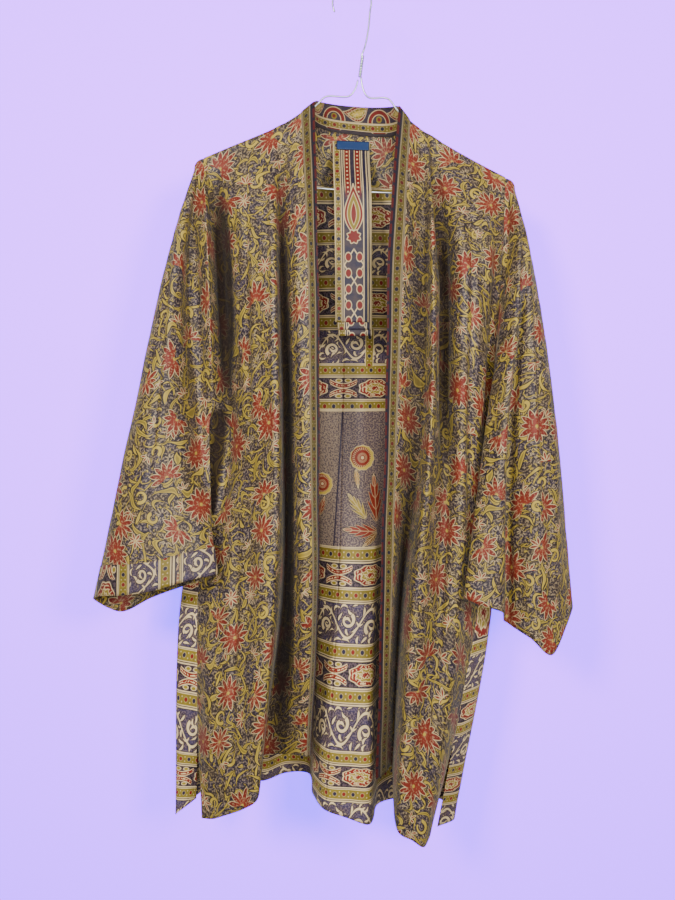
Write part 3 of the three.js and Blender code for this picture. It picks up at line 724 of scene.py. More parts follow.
right_band = folded_band(right_front[:, -1], edge_curve(RIGHT_EDGE, 0.3), -1)
left_band = folded_band(left_front[:, 0], edge_curve(LEFT_EDGE, 1.7), 1)
band_piece("right_front_band_cloth", right_band, True)
band_piece("left_front_band_cloth", left_band, False)


def neck_line(x_column, z_column):
    """Smooth line round the neck through the chosen columns of the neck's table."""
    stops = NECK[:, [x_column, 2, z_column]]
    return across(stops[:, None, :], 12)[0]


neck_band = folded_band(neck_line(1, 4), neck_line(0, 3), 1)
band_piece("neck_band_cloth", neck_band, True)

# %% [markdown]
# ## Sleeves and cuff
# The sleeves are panels like the others. The right one ends in a cuff band, a strip cut along
# the border print and laid over the sleeve's own end, so it is made from the sleeve's last
# rows moved a little outwards. Its print is listed in front and runs on evenly behind.

# %% Sleeves and the cuff band
CUFF_BAND, CUFF_OUT, CUFF_THICKNESS = 42.0, 0.85, 0.6
CUFF_EDGE = 6 * SLEEVE_STEPS
CUFF_REPEAT = 0.127
panel("right_sleeve_cloth", right_sleeve, False, 0)
panel("left_sleeve_cloth", left_sleeve, True, 0)

cuff_length = lengths_along(right_sleeve, 0)
rows_down = cuff_length[-1:, :, 1] - cuff_length[..., 1]
first = int(np.argmax(rows_down.mean(axis=1) < CUFF_BAND * MM))
cuff = right_sleeve[first:] + normals_of(right_sleeve)[first:] * CUFF_OUT
# Columns: x on the cuff in mm, repeat of the border print.
CUFF_BANDS = np.array([
    (-352, 0.0), (-341, 0.12), (-306, 0.38), (-303, 0.40), (-292, 0.5), (-245, 1.0),
    (-233, 1.11), (-223, 1.17), (-221, 1.52), (-175, 2.0),
])
front_part = np.arange(cuff.shape[1]) <= CUFF_EDGE
front_repeat = np.interp(cuff[..., 0], CUFF_BANDS[:, 0], CUFF_BANDS[:, 1])
past_edge = cuff_length[first:, :, 0] - cuff_length[first:, [CUFF_EDGE], 0]
cuff_repeat = np.where(front_part, front_repeat,
                       front_repeat[:, [CUFF_EDGE]] - past_edge / CUFF_REPEAT)
cuff_maps = {
    "cloth": cuff_length[first:], "edge": edge_distances(cuff),
    "print": np.stack([cuff_length[first:, :, 1] - cuff_length[first:first + 1, :, 1],
                       cuff_repeat], axis=-1),
}
make_piece("right_cuff_cloth", [(cuff, False, cuff_maps)], CUFF_THICKNESS)
print("cuff band:", cuff.shape[0], "rows of the sleeve")

# %% [markdown]
# ## Belt and label
# The belt is a folded sash that hangs from under the label, over the hanger's lower bar. Its
# path is the solids' path, so it passes over the bar without touching it. A second fold lies
# between the two outer layers. The label is a small woven patch, left blank.

# %% Belt and label
BELT = np.array([
    (5, -2.6, -452), (5, -3.2, -400), (4.5, -3.6, -340), (4, -3.4, -290), (3.5, -2.9, -264),
    (3, 0.5, -252), (2.5, 9, -238), (2, 21, -219), (2, 30.5, -203), (2, 32.6, -190),
])
BELT_WIDTH, BELT_SHIFT, BELT_LAYER = 45.0, 4.5, 2.4
BELT_FRONT_END, BELT_INNER_END = -434.0, -444.0
BELT_COLUMNS, BELT_STEPS = 17, 14


def belt_layer(layer):
    """The belt's path moved out along its normal by a number of layers, and sideways."""
    padded = np.pad(BELT, ((1, 1), (0, 0)), mode="edge")
    along = (padded[2:] - padded[:-2])[:, 1:]
    along /= np.linalg.norm(along, axis=-1, keepdims=True)
    out = layer * BELT_LAYER
    return BELT + np.stack([np.full(len(BELT), -layer * BELT_SHIFT), -along[:, 1] * out,
                            along[:, 0] * out], axis=-1)


def belt_grid(path):
    """A ribbon of the belt's width along a smooth path. Its edges bend back by 4.5 * share^4,
    with share from -0.5 to 0.5 across, and two small sines sway it."""
    line = across(path[:, None, :], BELT_STEPS)[0]
    share = np.linspace(-0.5, 0.5, BELT_COLUMNS)
    grid = line[:, None] + np.stack([share * BELT_WIDTH, 4.5 * share**4, 0 * share], axis=-1)
    sway = 0.35 * np.sin(grid[..., 2] / 31 + 4 * share) + 0.25 * np.sin(grid[..., 2] / 13)
    grid[..., 1] += sway * np.clip((-200 - grid[..., 2]) / 40, 0, 1) * 0.6
    return grid


middle, front = belt_layer(0), belt_layer(1)[::-1]
turn = (middle[-1] + front[0]) / 2 + np.array([0, 0, BELT_LAYER / 2])
front[-1, 2] = BELT_FRONT_END
inner = belt_layer(0.5)
inner[0, 2], inner[:, 0] = BELT_INNER_END, inner[:, 0] + 1.0
outer_belt = belt_grid(np.concatenate([middle, [turn], front]))
inner_belt = belt_grid(inner)


def belt_maps(grid):
    """Across the belt from its left edge as seen, and height, both in metres."""
    return {"cloth": np.stack([(grid[..., 0] - grid[:, :1, 0]) * MM, -grid[..., 2] * MM],
                              axis=-1)}


make_piece("belt_cloth", [(outer_belt, True, belt_maps(outer_belt)),
                          (inner_belt, True, belt_maps(inner_belt))])

# The label lies LABEL_OUT over the belt's front layer, tilted by LABEL_TILT, with a small wave.
LABEL_X, LABEL_Z, LABEL_OUT, LABEL_TILT = (-20, 24), (-189.5, -201.5), 1.6, 0.04
belt_front = belt_layer(1)[::-1]
label_x, label_z = np.linspace(*LABEL_X, 23), np.linspace(*LABEL_Z, 9)[:, None]
label_y = np.interp(-label_z, -belt_front[:, 2], belt_front[:, 1]) - LABEL_OUT
label_grid = np.stack(np.broadcast_arrays(
    label_x, label_y - 0.25 * np.cos(label_x / 7) ** 2, label_z - LABEL_TILT * (label_x - 2)),
    axis=-1)
label_uv = np.stack(np.broadcast_arrays(label_x - LABEL_X[0], LABEL_Z[0] - label_z), axis=-1) * MM
make_piece("label_cloth", [(label_grid, False, {"cloth": label_uv})])

# %% [markdown]
# ## Wire hanger
# The hanger is one length of galvanised wire: a hook, a twist where the ends wrap round each
# other, two arms and a lower bar with round ends. Each stretch is a circle carried along its
# path. The circle's frame is kept upright against the Y axis, since the wires stay near the
# plane of the hanger.

# %% Wire tube
WIRE, WIRE_SIDES = 2.4, 16
HOOK_RADIUS, HOOK_OPENS_AT = 25.0, 205.0
TWIST_TOP, TWIST_FOOT, TWIST_TURNS = np.array([14, 0, -90.0]), np.array([10.5, 0, -116.0]), 4
BAR_SAG = 6.5


def wire_piece(name, stops, steps):
    """Tube round a smooth path: each ring is radius * (cos * side + sin * other), and three
    more rings at each end draw in to a rounded tip."""
    path = across(np.array(stops, float)[:, None, :], steps)[0]
    tangent = np.gradient(path, axis=0)
    tangent /= np.linalg.norm(tangent, axis=-1, keepdims=True)
    side = np.cross(tangent, [0, 1, 0])
    side /= np.linalg.norm(side, axis=-1, keepdims=True)
    other = np.cross(side, tangent)
    tip_radius, tip_length = np.array([0.02, 0.55, 0.85]), np.array([0.5, 0.42, 0.24])
    whole, at = np.ones(len(path)), np.clip(np.arange(-3, len(path) + 3), 0, len(path) - 1)
    radius = np.concatenate([tip_radius, whole, tip_radius[::-1]]) * WIRE / 2
    push = np.concatenate([-tip_length, 0 * whole, tip_length[::-1]]) * WIRE / 2
    angle = np.linspace(0, 2 * np.pi, WIRE_SIDES, endpoint=False)[None, :, None]
    ring = np.cos(angle) * side[at, None] + np.sin(angle) * other[at, None]
    centre = (path[at] + push[:, None] * tangent[at])[:, None]
    grid = centre + ring * radius[:, None, None]
    faces = quads_of(*grid.shape[:2], False, True).tolist()
    last = len(at) * WIRE_SIDES - WIRE_SIDES
    faces += [list(range(WIRE_SIDES)), list(range(last, last + WIRE_SIDES))[::-1]]
    piece = mesh_object(name, grid.reshape(-1, 3) * MM, faces)
    piece.data.shade_smooth()
    finished[name] = piece
    print(name, len(faces), "faces")


# %% [markdown]
# ## Paths of the wires
# The hook is most of a circle, the twist a pair of helices half a turn apart, and the arms
# follow the same line as the shoulders. The lower bar sags a little between its round ends.

# %% Wires


def arc(centre, radius, start, end, count):
    """Points on a circle in the hanger's plane, from one angle to another in degrees."""
    angle = np.radians(np.linspace(start, end, count + 1))
    return np.stack([centre[0] + radius * np.cos(angle), 0 * angle,
                     centre[1] + radius * np.sin(angle)], axis=-1)


def twist(phase):
    """Helix round the line from the twist's top to its foot, half a wire and 0.05 mm out."""
    count = TWIST_TURNS * 8
    axis = (TWIST_FOOT - TWIST_TOP) / np.linalg.norm(TWIST_FOOT - TWIST_TOP)
    depth = np.array([0, 1.0, 0])
    share = np.linspace(0, 1, count + 1)[:, None]
    angle = math.radians(phase) + 2 * np.pi * TWIST_TURNS * share
    around = np.cos(angle) * np.cross(depth, axis) + np.sin(angle) * depth
    return TWIST_TOP + share * (TWIST_FOOT - TWIST_TOP) + (WIRE / 2 + 0.05) * around


def arm_path(start, end):
    """Stops along an arm, at the height of the shoulder's wire."""
    return np.array([(x, 0, arm_height(x)) for x in np.linspace(start, end, 13)])


hook_bend = arc((0, WIRE / 2 - HOOK_RADIUS), HOOK_RADIUS, HOOK_OPENS_AT, -18, 14)
wire_piece("hook_wire", [*hook_bend, (21.5, 0, -55), (17.5, 0, -76), *twist(0)], 6)
wire_piece("left_arm_wire", [*twist(180), (15, 0, -132), (22, 0, -142), (47, 0, -143.5),
                             *arm_path(58.0, 205.0)], 6)
wire_piece("right_arm_wire", [(8, 0, -120.5), (4, 0, -132), (-4, 0, -140.5), (-34, 0, -141),
                              *arm_path(-45.0, -196.0)], 8)
right_end = arc(ARM_END["right"][:2], ARM_END_RADIUS, 118, 262, 8)
left_end = arc(ARM_END["left"][:2], ARM_END_RADIUS, -94, 56, 8)
bar_share = np.array([0.06, 0.5, 0.94])[:, None]
bar = right_end[-1] + bar_share * (left_end[0] - right_end[-1])
bar[:, 2] -= BAR_SAG * 4 * (bar_share * (1 - bar_share))[:, 0]
wire_piece("bar_wire", [*right_end, *bar, *left_end], 8)

# %% [markdown]
# ## Inks
# The cloth is printed in few inks: a mauve-grey ground, navy lines, cream lines, olive-yellow
# leaves, red and coral flowers and ochre ribbons. Each ink is one listed colour.

# %% Inks
SILK = 0.62


def ink(red, green, blue):
    """An ink's colour on white, times SILK for the brown of the raw silk under it."""
    return (red * SILK, green * SILK, blue * SILK, 1.0)


GROUND, GROUND_BLUE, GROUND_TAN = ink(0.095, 0.060, 0.072), ink(0.068, 0.050, 0.120), ink(
    0.16, 0.105, 0.055)
DARK, NAVY, MAUVE = ink(0.017, 0.010, 0.014), ink(0.020, 0.015, 0.044), ink(0.07, 0.048, 0.055)
CREAM, LEAF, OLIVE = ink(0.80, 0.61, 0.31), ink(0.70, 0.50, 0.075), ink(0.19, 0.14, 0.020)
RED, CORAL, OCHRE = ink(0.22, 0.012, 0.007), ink(0.37, 0.050, 0.020), ink(0.30, 0.22, 0.016)
SLUB, SLUB_MAUVE = ink(0.36, 0.26, 0.17), ink(0.22, 0.15, 0.14)
print("ground of the all-over print:", tuple(round(v, 3) for v in GROUND))

# %% [markdown]
# ## Drawing with nodes
# A print is drawn by arithmetic on the two lengths along the cloth. The helpers below write
# that arithmetic as shader nodes, so a formula in this script reads like a formula.

# %% Signals


class Signal:
    """A number or colour that varies over the cloth. Arithmetic on it adds Math nodes."""

    def __init__(self, pad, socket):
        self.pad, self.socket = pad, socket

    def __add__(self, other):
        return self.pad.math("ADD", self, other)

    def __sub__(self, other):
        return self.pad.math("SUBTRACT", self, other)

    def __mul__(self, other):
        return self.pad.math("MULTIPLY", self, other)

    def __truediv__(self, other):
        return self.pad.math("DIVIDE", self, other)

    def __rsub__(self, other):
        return self.pad.math("SUBTRACT", other, self)

    def __pow__(self, other):
        return self.pad.math("POWER", self, other)

    def __abs__(self):
        return self.pad.math("ABSOLUTE", self)

    __radd__, __rmul__ = __add__, __mul__

    def over(self, limit, soft):
        """1 where the signal is over the limit and 0 under it, with a soft step between."""
        return self.pad.math("MULTIPLY_ADD", self - limit, 1 / soft, 0.5, clamp=True)

    def under(self, limit, soft):
        """1 where the signal is under the limit and 0 over it."""
        return self.pad.math("MULTIPLY_ADD", self - limit, -1 / soft, 0.5, clamp=True)

    def to_step(self, size):
        """Distance to the nearest whole multiple of size."""
        return self.pad.math("PINGPONG", self, size / 2)

    def fraction(self):
        """What is left over the whole number below."""
        return self.pad.math("FRACT", self)


# %% [markdown]
# ## A pad to draw on
# Wiring a node tree by hand takes a line for each node and each link. The pad adds a node, sets
# its numbers and joins what comes from other nodes, so a step of a drawing is one call.

# %% Pad


class Pad:
    """A node tree being written."""

    def __init__(self, tree):
        self.tree = tree

    def add(self, kind, inputs=(), output=0, **settings):
        """Adds a node, sets or joins its inputs, and gives one output back as a signal."""
        node = self.tree.nodes.new(kind)
        for key, value in settings.items():
            setattr(node, key, value)
        for key, value in inputs.items() if isinstance(inputs, dict) else enumerate(inputs):
            if isinstance(value, Signal):
                self.tree.links.new(value.socket, node.inputs[key])
            else:
                node.inputs[key].default_value = value
        return Signal(self, node.outputs[output]) if output is not None else node

    def math(self, operation, *values, clamp=False):
        """One step of arithmetic."""
        return self.add("ShaderNodeMath", values, operation=operation, use_clamp=clamp)

    def mix(self, share, first, second):
        """First colour where share is 0, second where it is 1."""
        return self.add("ShaderNodeMix", {0: share, 6: first, 7: second}, 2, data_type="RGBA")

    def flat(self, x, y):
        """A place in the plane for the textures to read."""
        return self.add("ShaderNodeCombineXYZ", (x, y))

    def noise(self, x, y, size, detail=1.0, distortion=0.0):
        """Soft random value from 0 to 1, over patches of about size."""
        return self.add("ShaderNodeTexNoise", {
            "Vector": self.flat(x, y), "Scale": 1 / size, "Detail": detail,
            "Distortion": distortion}, noise_dimensions="2D")

    def layers(self, colour, depth, soft, *rows):
        """Lays inks one on another. Each row is a limit and an ink, and covers what lies
        deeper than the limit."""
        for limit, shade in rows:
            colour = self.mix(depth.over(limit, soft), colour, shade)
        return colour

    def rings(self, colour, distance, soft, *rows):
        """As layers, but each row covers what lies nearer than its limit."""
        for limit, shade in rows:
            colour = self.mix(distance.under(limit, soft), colour, shade)
        return colour

    def length(self, x, y):
        """Square root of x^2 + y^2."""
        return self.math("SQRT", x * x + y * y)

    def turn(self, x, y):
        """Angle from straight up in turns, from -0.5 to 0.5."""
        return self.math("ARCTAN2", x, y) * (0.5 / math.pi)


# %% [markdown]
# ## Effects as node groups
# A motif is used in several prints, as a block is used again and again in block printing. So
# each motif becomes a node group of its own, with named inputs and outputs.

# %% Effects


def effect(inputs, outputs):
    """Makes a shader node group out of a function of signals. An output whose name starts
    with Colour is a colour, and all the others are numbers."""
    def build(body):
        """Writes the body's drawing into a group named after it."""
        tree = bpy.data.node_groups.new(body.__name__, "ShaderNodeTree")
        for label in inputs:
            tree.interface.new_socket(label, in_out="INPUT", socket_type="NodeSocketFloat")
        for label in outputs:
            kind = "NodeSocketColor" if label.startswith("Colour") else "NodeSocketFloat"
            tree.interface.new_socket(label, in_out="OUTPUT", socket_type=kind)
        pad = Pad(tree)
        entry = tree.nodes.new("NodeGroupInput")
        results = body(pad, *[Signal(pad, socket) for socket in entry.outputs[:len(inputs)]])
        results = results if isinstance(results, tuple) else (results,)
        exit_node = tree.nodes.new("NodeGroupOutput")
        for result, socket in zip(results, exit_node.inputs):
            tree.links.new(result.socket, socket)

        def use(pad, *values):
            """Places the group on a pad and gives its outputs back."""
            node = pad.add("ShaderNodeGroup", values, None, node_tree=tree)
            found = [Signal(pad, socket) for socket in node.outputs]
            return found[0] if len(found) == 1 else found
        print("effect:", body.__name__, "with", len(tree.nodes), "nodes")
        return use
    return build


# %% [markdown]
# ## Motifs of the all-over print
# Flowers, comma-shaped leaves, curls and little starbursts are scattered over the cloth, each
# turned its own way, over a mottled ground full of fine squiggles. The scattering comes from
# a Voronoi pattern: one motif to a cell.

# %% Scatter


@effect(["U", "V", "Size", "Spread", "Seed"], ["X", "Y", "Chance 1", "Chance 2"])
def scattered(pad, u, v, size, spread, seed):
    """Splits the cloth into uneven cells of the given size and gives each point's place in
    its own cell, in millimetres and turned at random, with two random numbers for the cell."""
    place = pad.flat(u * 1000 / size + seed * 7.31, v * 1000 / size + seed * 3.17)
    cell = pad.add("ShaderNodeTexVoronoi", {"Vector": place, "Scale": 1.0, "Randomness": spread},
                   None, voronoi_dimensions="2D", feature="F1")
    position, chance = (Signal(pad, cell.outputs[k]) for k in ("Position", "Color"))
    local = pad.add("ShaderNodeVectorMath", (place, position), operation="SUBTRACT")
    parts = pad.add("ShaderNodeSeparateColor", (chance,), None)
    chance_1, chance_2, chance_3 = (Signal(pad, socket) for socket in parts.outputs)
    turned = pad.add("ShaderNodeVectorRotate", {"Vector": local, "Angle": chance_3 * 6.2832},
                     rotation_type="Z_AXIS")
    split = pad.add("ShaderNodeSeparateXYZ", (turned,), None)
    return (Signal(pad, split.outputs[0]) * size, Signal(pad, split.outputs[1]) * size,
            chance_1, chance_2)


# %% [markdown]
# ## Flowers
# A flower is easiest in polar terms: the angle says which petal, and the distance says how far
# along it. The width allowed at that distance, less how far the point lies from the petal's
# middle, is its depth in the petal, and limits on the depth give outline, edge and fill.

# %% Flowers


@effect(["X", "Y", "Radius", "Petals", "Fan", "Fleck"], ["Colour", "Cover", "Shade"])
def flower(pad, x, y, radius, petals, fan, fleck):
    """Narrow pointed petals round a hub, no two of one length. A petal is 0.335 * radius *
    (1 - share^2) * (0.05 + share) wide either side of its middle, with share the way to its
    tip. Fan leaves out the lower petals. Cream lines edge each petal and flecks fill it."""
    distance, turn = pad.length(x, y), pad.turn(x, y)
    petal = pad.math("ROUND", turn * petals)
    chance = (pad.math("SINE", petal * 12.99 + radius * 7.7) * 43.7).fraction()
    reach = radius * (0.74 + 0.26 * chance)
    share = distance / reach
    sideways = (turn * petals).to_step(1.0) * distance / petals * (2 * math.pi)
    width = radius * 0.335 * (1 - share * share) * (0.05 + share)
    depth = width - sideways - abs(turn).over(0.5 - fan * 0.24, 0.01) * fan * 20
    colour = pad.mix(share * 1.2, CORAL, RED)
    colour = pad.mix(fleck.over(0.60, 0.05) * depth.over(0.9, 0.5) * 0.35, colour, CREAM)
    colour = pad.mix(depth.under(0.75, 0.5), colour, CREAM)
    colour = pad.mix(distance.under(radius * 0.08, 0.7), colour, LEAF)
    return colour, depth.over(-0.35, 0.5), depth.over(-1.4, 0.8) * share.over(0.2, 0.1)


@effect(["X", "Y", "Radius"], ["Colour", "Cover"])
def round_flower(pad, x, y, radius):
    """Rings of short coral rays round a cream eye, on red, with a scalloped yellow rim that
    is wider on one side."""
    distance, turn = pad.length(x, y), pad.turn(x, y)
    rim = radius * (0.94 + 0.14 * (turn * 11).to_step(1.0))
    ring = pad.math("FLOOR", distance / radius * 5)
    rays = (turn * 30 + ring * 0.5).fraction().to_step(1.0).under(0.27, 0.12)
    colour = pad.mix(rays * 0.85, RED, CORAL)
    colour = pad.mix(rays * ring.to_step(2.0) * 0.6, colour, CREAM)
    colour = pad.mix(distance.under(radius * 0.13, 0.8), colour, CREAM)
    yellow = pad.length(x + radius * 0.10, y + radius * 0.06).over(radius * 0.80, 0.8)
    colour = pad.mix(yellow, colour, LEAF)
    colour = pad.mix((rim - distance).under(0.7, 0.7), colour, CREAM)
    return colour, (rim - distance).over(0, 0.7)


# %% [markdown]
# ## Leaves, curls and starbursts
# These small motifs also give a depth, so one outline and one fill colour serve them all.

# %% Small motifs


@effect(["Across", "Along", "Length", "Width"], ["Depth", "Vein"])
def lobed_leaf(pad, across, along, length, width):
    """How deep a point lies in a leaf with pointed lobes that lean to its tip, and its veins.
    The half width is width * sin(pi * share^0.75) * (0.30 + 0.70 * saw), where saw climbs
    from 0 to 1 over each lobe, measured along the leaf less the distance out."""
    share, out = pad.math("MAXIMUM", along / length, 0.0), abs(across)
    envelope = width * pad.math("SINE", pad.math("MINIMUM", share, 1.0) ** 0.75 * math.pi)
    saw = ((along - out * 1.3) / length * 4.3 + 8).fraction()
    depth = (envelope * (0.30 + 0.70 * saw) - out - share.under(0.01, 0.01) * 9
             - share.over(0.995, 0.01) * 9)
    return depth, pad.math("MAXIMUM", out.under(0.7, 0.6), saw.under(0.12, 0.08))


@effect(["X", "Y", "Length", "Width", "Bend"], ["Depth"])
def comma_leaf(pad, x, y, length, width, bend):
    """How deep a point lies in a curved leaf: width * (1 - (x / length)^2) - |y - bend x^2|,
    with one end a little fuller than the other."""
    along = x / length
    half = width * (1 - along * along) * pad.math("MAXIMUM", 1 + 0.45 * along, 0.2)
    return half - abs(y - bend * x * x / length)


@effect(["X", "Y", "Radius"], ["Depth"])
def curl(pad, x, y, radius):
    """How deep a point lies in an open ring that grows from its start to its end."""
    turn = pad.turn(x, y)
    ring = radius * (0.78 + 0.44 * turn)
    return (1.7 + turn * 1.6) - abs(pad.length(x, y) - ring) - abs(turn).over(0.42, 0.05) * 9


@effect(["X", "Y", "Radius", "Rays"], ["Cover"])
def starburst(pad, x, y, radius, rays):
    """Thin rays round a point, left open in the middle."""
    distance, turn = pad.length(x, y), pad.turn(x, y)
    sideways = (turn * rays).to_step(1.0) * distance / rays * (2 * math.pi)
    return (sideways.under(0.5, 0.6) * distance.under(radius, 1.0)
            * distance.over(radius * 0.34, 0.8) * 0.8)


# %% [markdown]
# ## The all-over print
# Block prints are laid from the ground up, and so is this one: first the mottled ground, then
# starbursts, stems, leaves and curls, and the flowers last, each with its dark outline.

# %% Ground and all-over print


@effect(["U", "V"], ["Colour", "Fleck"])
def mottled_ground(pad, u, v):
    """Mauve-grey that turns lavender or tan in patches, peppered with dark and cream flecks
    3 mm across and with short squiggles, the level lines of a noise."""
    patch = pad.noise(u, v, 0.034, 1.0)
    fleck, line = pad.noise(u + 1.7, v, 0.0030, 1.0), pad.noise(u, v + 2.3, 0.0075, 1.0, 0.7)
    colour = pad.mix(patch.over(0.57, 0.16) * 0.8, GROUND, GROUND_BLUE)
    colour = pad.mix(patch.under(0.43, 0.16) * 0.8, colour, GROUND_TAN)
    squiggle = line.to_step(0.16).under(0.022, 0.024)
    colour = pad.mix(squiggle * 0.72, colour, DARK)
    colour = pad.mix((line + 0.08).to_step(0.16).under(0.014, 0.02) * 0.30, colour, CREAM)
    colour = pad.mix(fleck.under(0.455, 0.12) * 0.8, colour, DARK)
    return pad.mix(fleck.over(0.59, 0.12) * 0.34, colour, CREAM), fleck


@effect(["U", "V"], ["Colour"])
def all_over_print(pad, u, v):
    """The whole print, from the ground up: starbursts, stems, leaves, curls, flowers."""
    wave, other_wave = pad.noise(u, v, 0.034, 0.0), pad.noise(u + 2.2, v, 0.034, 0.0)
    bent_u, bent_v = u + (wave - 0.5) * 0.022, v + (other_wave - 0.5) * 0.022
    colour, fleck = mottled_ground(pad, u, v)
    x, y, chance, other = scattered(pad, u, v, 34.0, 0.9, 5.0)
    rays = starburst(pad, x, y, chance * 4 + 6, other * 4 + 6)
    colour = pad.mix(rays * other.over(0.4, 0.05), colour, CREAM)
    for stem, keep in ((wave, other_wave), (other_wave, wave)):
        near = stem.to_step(0.17)
        some = keep.to_step(0.2).over(0.055, 0.015)
        colour = pad.mix(near.under(0.018, 0.009) * some * 0.8, colour, DARK)
        colour = pad.mix(near.under(0.0095, 0.006) * some, colour, LEAF)
    for size, seed, length, width in ((24.0, 2.0, 8.0, 1.4), (28.0, 9.0, 12.0, 1.7),
                                      (36.0, 6.0, 17.0, 1.9)):
        x, y, chance, other = scattered(pad, bent_u, bent_v, size, 0.95, seed)
        depth = comma_leaf(pad, x, y, length, chance * 0.8 + width - 0.4, other * 2.2 - 1.1)
        colour = pad.mix(depth.over(-1.0, 0.7) * 0.9, colour, DARK)
        colour = pad.mix(depth.over(0, 0.6), colour, LEAF)
        colour = pad.mix(depth.over(0.95, 0.6) * chance * 0.8, colour, OLIVE)
    x, y, chance, other = scattered(pad, u, v, 47.0, 0.9, 14.0)
    depth = curl(pad, x, y, chance * 3 + 6.5) - other.under(0.45, 0.02) * 9
    colour = pad.mix(depth.over(-0.9, 0.7) * 0.8, colour, DARK)
    colour = pad.mix(depth.over(0, 0.6), colour, LEAF)
    for size, seed, least, spread, petals, fan, whole in (
            (52.0, 20.0, 11.0, 5.0, 6.0, 0.9, 0.1), (66.0, 1.0, 23.0, 6.0, 10.0, 0.75, 0.34)):
        x, y, chance, other = scattered(pad, u, v, size, 0.7, seed)
        fan_here = fan * other.over(whole, 0.02)
        count = pad.math("ROUND", chance * 2 + petals)
        blooms, cover, shade = flower(pad, x, y + fan_here * 8, chance * spread + least, count,
                                      fan_here, fleck)
        colour = pad.mix(cover, pad.mix(shade * 0.8, colour, DARK), blooms)
    return colour


# %% [markdown]
# ## Motifs of the border print
# The border repeats four stripes: an ochre ribbon of dots, a row of pointed medallions, the
# ribbon again, and a wide band of scrolling leaves. The same stripes are used lengthwise on
# the front bands, the belt and the cuff.

# %% Ribbon and medallions


@effect(["Along", "Across", "Half width"], ["Colour", "Cover"])
def dotted_ribbon(pad, along, across, half):
    """Ochre ribbon with a red and a navy dot in turn every 13 mm, a cream line down each
    side, and small cream dots between. Across runs from -1 to 1 over the ribbon."""
    step = along * 1000
    dx, dy = step.to_step(13.0), across * half
    distance = pad.length(dx, dy)
    odd = step.to_step(26.0).over(6.5, 0.2)
    colour = pad.mix(pad.noise(along, across * 0.004, 0.003, 0.0), OCHRE, OLIVE)
    small = pad.length(6.5 - dx, abs(dy) - half * 0.42)
    colour = pad.mix(small.under(0.9, 0.7) * 0.7, colour, CREAM)
    colour = pad.mix(distance.under(3.2, 0.7) * 0.4, colour, CREAM)
    colour = pad.mix(distance.under(2.5, 0.7), colour, pad.mix(odd, RED, NAVY))
    colour = pad.mix((abs(across) * half - half).over(-0.95, 0.6), colour, CREAM)
    return colour, abs(across).under(1.0, 0.08)


@effect(["Along", "Across", "Half width"], ["Colour", "Cover"])
def medallion_row(pad, along, across, half):
    """Every 92 mm a lobed medallion of nested red, cream, ochre and red, and between two of
    them a cross of curved drops, |y| = 3.4 + 0.055 x^2, red with cream edges. It is drawn 50
    long and stretched."""
    dx, dy = (along * 1000).to_step(92.0) * 0.543, across * half
    fleck = pad.noise(along, across * half * 0.001, 0.0026, 0.0)
    colour = pad.mix(fleck.over(0.5, 0.2), DARK, GROUND)
    far = 25.0 - dx
    drop = 2.7 - dx * 0.03 - abs(abs(dy) - 3.4 - dx * dx * 0.055) - dx.over(10.5, 1.0) * 5
    colour = pad.layers(colour, drop, 0.6, (-0.9, CREAM), (0.2, RED))
    colour = pad.mix(drop.over(1.7, 0.5) * fleck.over(0.5, 0.1), colour, CREAM)
    bud = pad.length(dx - 3.5, abs(dy) - half * 0.78)
    colour = pad.rings(colour, bud, 0.6, (2.6, CREAM), (1.8, OCHRE))
    turn = pad.turn(far, dy)
    ring = pad.length(far * 0.92, dy) - (turn * 8).to_step(1.0) * 3.2
    colour = pad.rings(colour, ring, 0.6, (11.4, CREAM), (10.5, RED), (6.6, CREAM),
                       (5.8, OCHRE), (2.8, CREAM), (2.1, RED))
    colour = pad.mix(ring.under(10.0, 0.5) * fleck.over(0.62, 0.05) * 0.8, colour, CREAM)
    return colour, abs(across).under(1.0, 0.05)


# %% [markdown]
# ## Scrolling leaves and the whole border
# The widest stripe is a waving stem with a curl in each bend. A sine gives the stem, and every
# second bend is mirrored, so one curl and one leaf are drawn for both sides.

# %% Scroll and border
BEND = 33


@effect(["Along", "Across", "Half width"], ["Colour", "Cover"])
def scroll_vine(pad, along, across, half):
    """A waving cream stem with an open curl in each bend and curved leaves all round, on a
    mottled mauve ground."""
    y_metres = across * half * 0.001
    fleck, patch = pad.noise(along, y_metres, 0.0022, 1.0), pad.noise(along, y_metres, 0.02)
    colour = pad.mix(patch.over(0.5, 0.3), GROUND_BLUE, GROUND)
    colour = pad.mix(fleck.under(0.46, 0.16) * 0.5, colour, DARK)
    colour = pad.mix(fleck.over(0.56, 0.16) * 0.3, colour, SLUB)
    step = along * 1000 / BEND
    odd = 1 - (pad.math("FLOOR", step) * 0.5).fraction() * 4
    x, y = ((step.fraction() - 0.5) * BEND) * odd, across * half * odd
    stem = abs(across * half - pad.math("SINE", step * math.pi) * half * 0.74)
    wave = pad.math("SINE", step.fraction() * math.pi)
    ring = curl(pad, x, y + 5.5 - 1.5 * wave, 9.0)
    inner = comma_leaf(pad, x + 1.0, y + 6.5, 5.5, 1.8, 1.0)
    leaf_x, leaf_y, chance, other = scattered(pad, along, y_metres, 11.5, 0.8, 3.0)
    leaf = comma_leaf(pad, leaf_x, leaf_y, 6.0, 1.45, chance * 2.0 - 1.0)
    leaf = leaf - ring.over(-2.2, 0.5) * 5
    shape = pad.math("MAXIMUM", 1.7 - stem, ring)
    shape = pad.math("MAXIMUM", shape, pad.math("MAXIMUM", leaf, inner))
    colour = pad.mix(shape.over(-0.9, 0.7) * 0.8, colour, DARK)
    colour = pad.mix(shape.over(0, 0.6), colour, CREAM)
    return colour, abs(across).under(1.0, 0.03)


